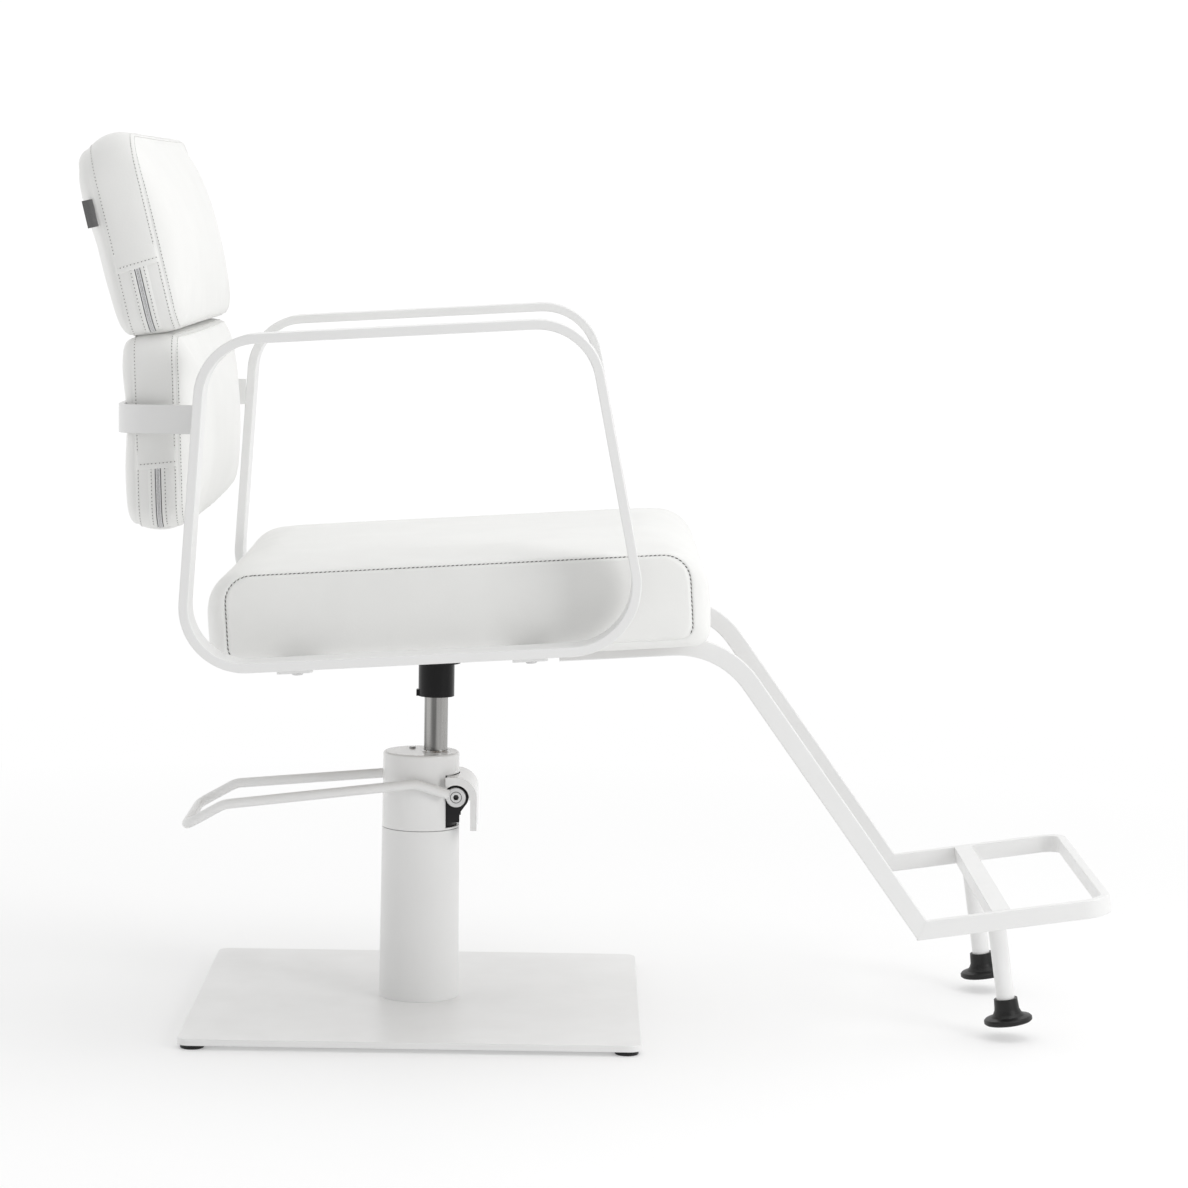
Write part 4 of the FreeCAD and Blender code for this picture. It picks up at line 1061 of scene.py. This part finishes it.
def lower_shape(ring):
    """The steel band presses the rear in, the front rolls over at the top and the bottom sags."""
    u, v, w = ring.T
    squeeze = BAND_PRESS * np.exp(-((v - BAND_AT) / BAND_SPREAD) ** 2) * rise(-w, 21, 28)
    middle = 1 - (u / BACK_HALF_WIDTH) ** 2
    ring[:, 2] += squeeze - 4.0 * rise(w, 24, 36) * rise(v, 120, 200) ** 2
    ring[:, 1] += rise(v, 100, 200) * 0.02 * w
    ring[:, 1] -= rise(-v, -100, 0) * (0.06 * np.maximum(w, 0) + 5.0) * middle


def upper_shape(ring):
    """The bottom comes down to the lower cushion in front, the front rolls over at the top and the
    rear swells towards the top."""
    u, v, w = ring.T
    middle = 1 - (u / BACK_HALF_WIDTH) ** 2
    ring[:, 1] -= rise(-v, -100, 0) * (0.12 * np.maximum(w, 0) + 1.0 * middle)
    ring[:, 1] += rise(v, 100, 200) * (0.06 * w + 1.0 * middle)
    ring[:, 2] -= 11.0 * rise(w, 24, 36) * rise(v, 105, 195) ** 2
    ring[:, 2] -= 6.0 * rise(-w, 21, 35) * rise(v, 100, 160)


TAG_WIDTH = 10.5
TAG_FROM_SEAM = 6.5
TAG_LOW, TAG_HIGH = 117.0, 146.0
TAG_THICK = 0.9
TAG_CURL = 1.6            # how far the label's free edge bends off the cover
TAG_SEWN = 4.0            # how deep its other edge goes into the seam


def make_tag(base, lean, rear_at):
    """A small blank label of woven cloth, sewn into the rear seam and standing off the cover."""
    columns, rows = 13, 15
    grid = []
    for face in (0.0, TAG_THICK):
        for r in range(rows):
            v = TAG_LOW + (TAG_HIGH - TAG_LOW) * r / (rows - 1)
            for c in range(columns):
                out = c / (columns - 1)
                curl = TAG_CURL * out * out + 0.5 * math.sin(2.6 * r / rows + 1.2 * out) * out
                rim = 0.22 if min(r, rows - 1 - r, columns - 1 - c) < 1 else 0.0
                thick = face * (1 - rim) + rim * TAG_THICK / 2
                sewn = TAG_SEWN * max(0.0, 1 - out / 0.4) ** 2
                grid.append((-(BACK_SEAM_HALF + 0.4 + thick + curl - sewn), v,
                             -rear_at - TAG_FROM_SEAM - TAG_WIDTH * out))
    tag = new_object("blank_label", np.array(grid) * MM, pad_faces(rows, columns), TAG_CLOTH)
    tidy_mesh(tag)
    tag.data.transform(back_transform(base, lean))
    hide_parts("blank_tag")
    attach(tag, "seat")


# ---- pump spring --------------------------------------------------------------------------------

SPRING_TURNS = 5
SPRING_TURN_STEPS = 24
SPRING_SIDES = 8
SPRING_WIRE = 0.6         # radius of the wire


def make_spring():
    """The plunger's return spring: a coil of wire at the CAD spring's length, which it keeps as the pedal
    goes down.
    """
    low, high = (np.array(corner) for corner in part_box("plunger_spring"))
    centre = (low + high) / 2
    wire = SPRING_WIRE * MM
    radius = (high[0] - low[0]) / 2 - wire
    bottom, length = low[2] + wire, high[2] - low[2] - 2 * wire
    steps = SPRING_TURNS * SPRING_TURN_STEPS
    points = []
    for k in range(steps + 1):
        angle = 2 * math.pi * SPRING_TURNS * k / steps
        out = np.array((math.cos(angle), math.sin(angle), 0.0))
        spine = np.array((centre[0], centre[1], bottom + length * k / steps)) + out * radius
        for j in range(SPRING_SIDES):
            turn = 2 * math.pi * j / SPRING_SIDES
            points.append(spine + out * wire * math.cos(turn) + np.array((0, 0, wire * math.sin(turn))))
    faces = grid_faces(steps + 1, SPRING_SIDES, True)
    faces.append(tuple(range(SPRING_SIDES))[::-1])
    faces.append(tuple(range(steps * SPRING_SIDES, (steps + 1) * SPRING_SIDES)))
    spring = new_object("return_spring", points, faces, SLOT_LOOKS["zinc_hardware"])
    tidy_mesh(spring)
    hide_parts("plunger_spring")
    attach(spring, "base")
    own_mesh(spring)


# ---- stage --------------------------------------------------------------------------------------

def make_floor():
    corners = [(x * FLOOR_HALF, y * FLOOR_HALF, 0) for x, y in ((-1, -1), (1, -1), (1, 1), (-1, 1))]
    floor = new_object("floor", corners, [(0, 1, 2, 3)], pale_floor(), smooth=False)


def make_world():
    """Soft white surroundings, dimmer on the side that the camera stands on."""
    world = bpy.data.worlds.new("studio")
    bpy.context.scene.world = world
    world.use_nodes = True
    nodes, links = world.node_tree.nodes, world.node_tree.links
    direction = nodes.new("ShaderNodeTexCoord").outputs["Generated"]
    links.new(surroundings(nodes, links, direction), nodes["Background"].inputs["Strength"])
    nodes["Background"].inputs["Color"].default_value = (1, 1, 1, 1)


def area_light(name, place, target, size, power):
    light = bpy.data.lights.new(name, "AREA")
    light.shape = "RECTANGLE"
    light.size, light.size_y = size
    light.energy = power
    obj = bpy.data.objects.new(name, light)
    obj.location = place
    obj.rotation_euler = (Vector(target) - Vector(place)).to_track_quat("-Z", "Y").to_euler()
    bpy.context.scene.collection.objects.link(obj)


CAMERA_AT = Vector((0.15098, -4.231, 0.91279))
CAMERA_PAN = 0.00593
CAMERA_TILT = -0.10356
CAMERA_ROLL = 0.01654
CAMERA_LENS = 114.48


def make_camera():
    camera = bpy.data.cameras.new("camera")
    camera.sensor_width = 36.0
    camera.lens = CAMERA_LENS
    camera.clip_start, camera.clip_end = 0.1, 100.0
    flat = math.cos(CAMERA_TILT)
    forward = Vector((math.sin(CAMERA_PAN) * flat, math.cos(CAMERA_PAN) * flat, math.sin(CAMERA_TILT)))
    level = Vector((math.cos(CAMERA_PAN), -math.sin(CAMERA_PAN), 0))
    upright = level.cross(forward)
    right = level * math.cos(CAMERA_ROLL) + upright * math.sin(CAMERA_ROLL)
    up = upright * math.cos(CAMERA_ROLL) - level * math.sin(CAMERA_ROLL)
    obj = bpy.data.objects.new("camera", camera)
    obj.matrix_world = Matrix.Translation(CAMERA_AT) @ Matrix((right, up, -forward)).transposed().to_4x4()
    bpy.context.scene.collection.objects.link(obj)
    bpy.context.scene.camera = obj


# ---- the scene ----------------------------------------------------------------------------------

dress_cad_nodes()
make_seat()
make_back("lower_back", LOWER_BACK_BASE, LOWER_BACK_LEAN, front_at=24.0, rear_at=21.5,
          heights=(6.0, 203.5, 0.5, 207.0), radii=(22, 22, 22, 22), front=(15.0, 30.0, 4.0),
          rear=(11.0, 14.0, 2.5), zip_at=3.0, flap_edge=66.0, shape=lower_shape)
make_back("upper_back", UPPER_BACK_BASE, UPPER_BACK_LEAN, front_at=24.3, rear_at=25.0,
          heights=(-1.5, 201.0, -5.0, 209.5), radii=(38, 40, 20, 20), front=(14.0, 34.0, 4.5),
          rear=(11.5, 20.0, 1.5), zip_at=-1.0, flap_edge=65.5, shape=upper_shape)
make_tag(UPPER_BACK_BASE, UPPER_BACK_LEAN, 24.0)
make_spring()
make_floor()
make_world()
area_light("key", (1.6, -0.6, 3.2), (0.0, 0.0, 0.5), (2.4, 2.4), 26)
area_light("front", (2.5, -2.0, 1.3), (0.1, -0.2, 0.55), (1.2, 1.4), 26)
bpy.context.scene.view_settings.view_transform = "Standard"
make_camera()
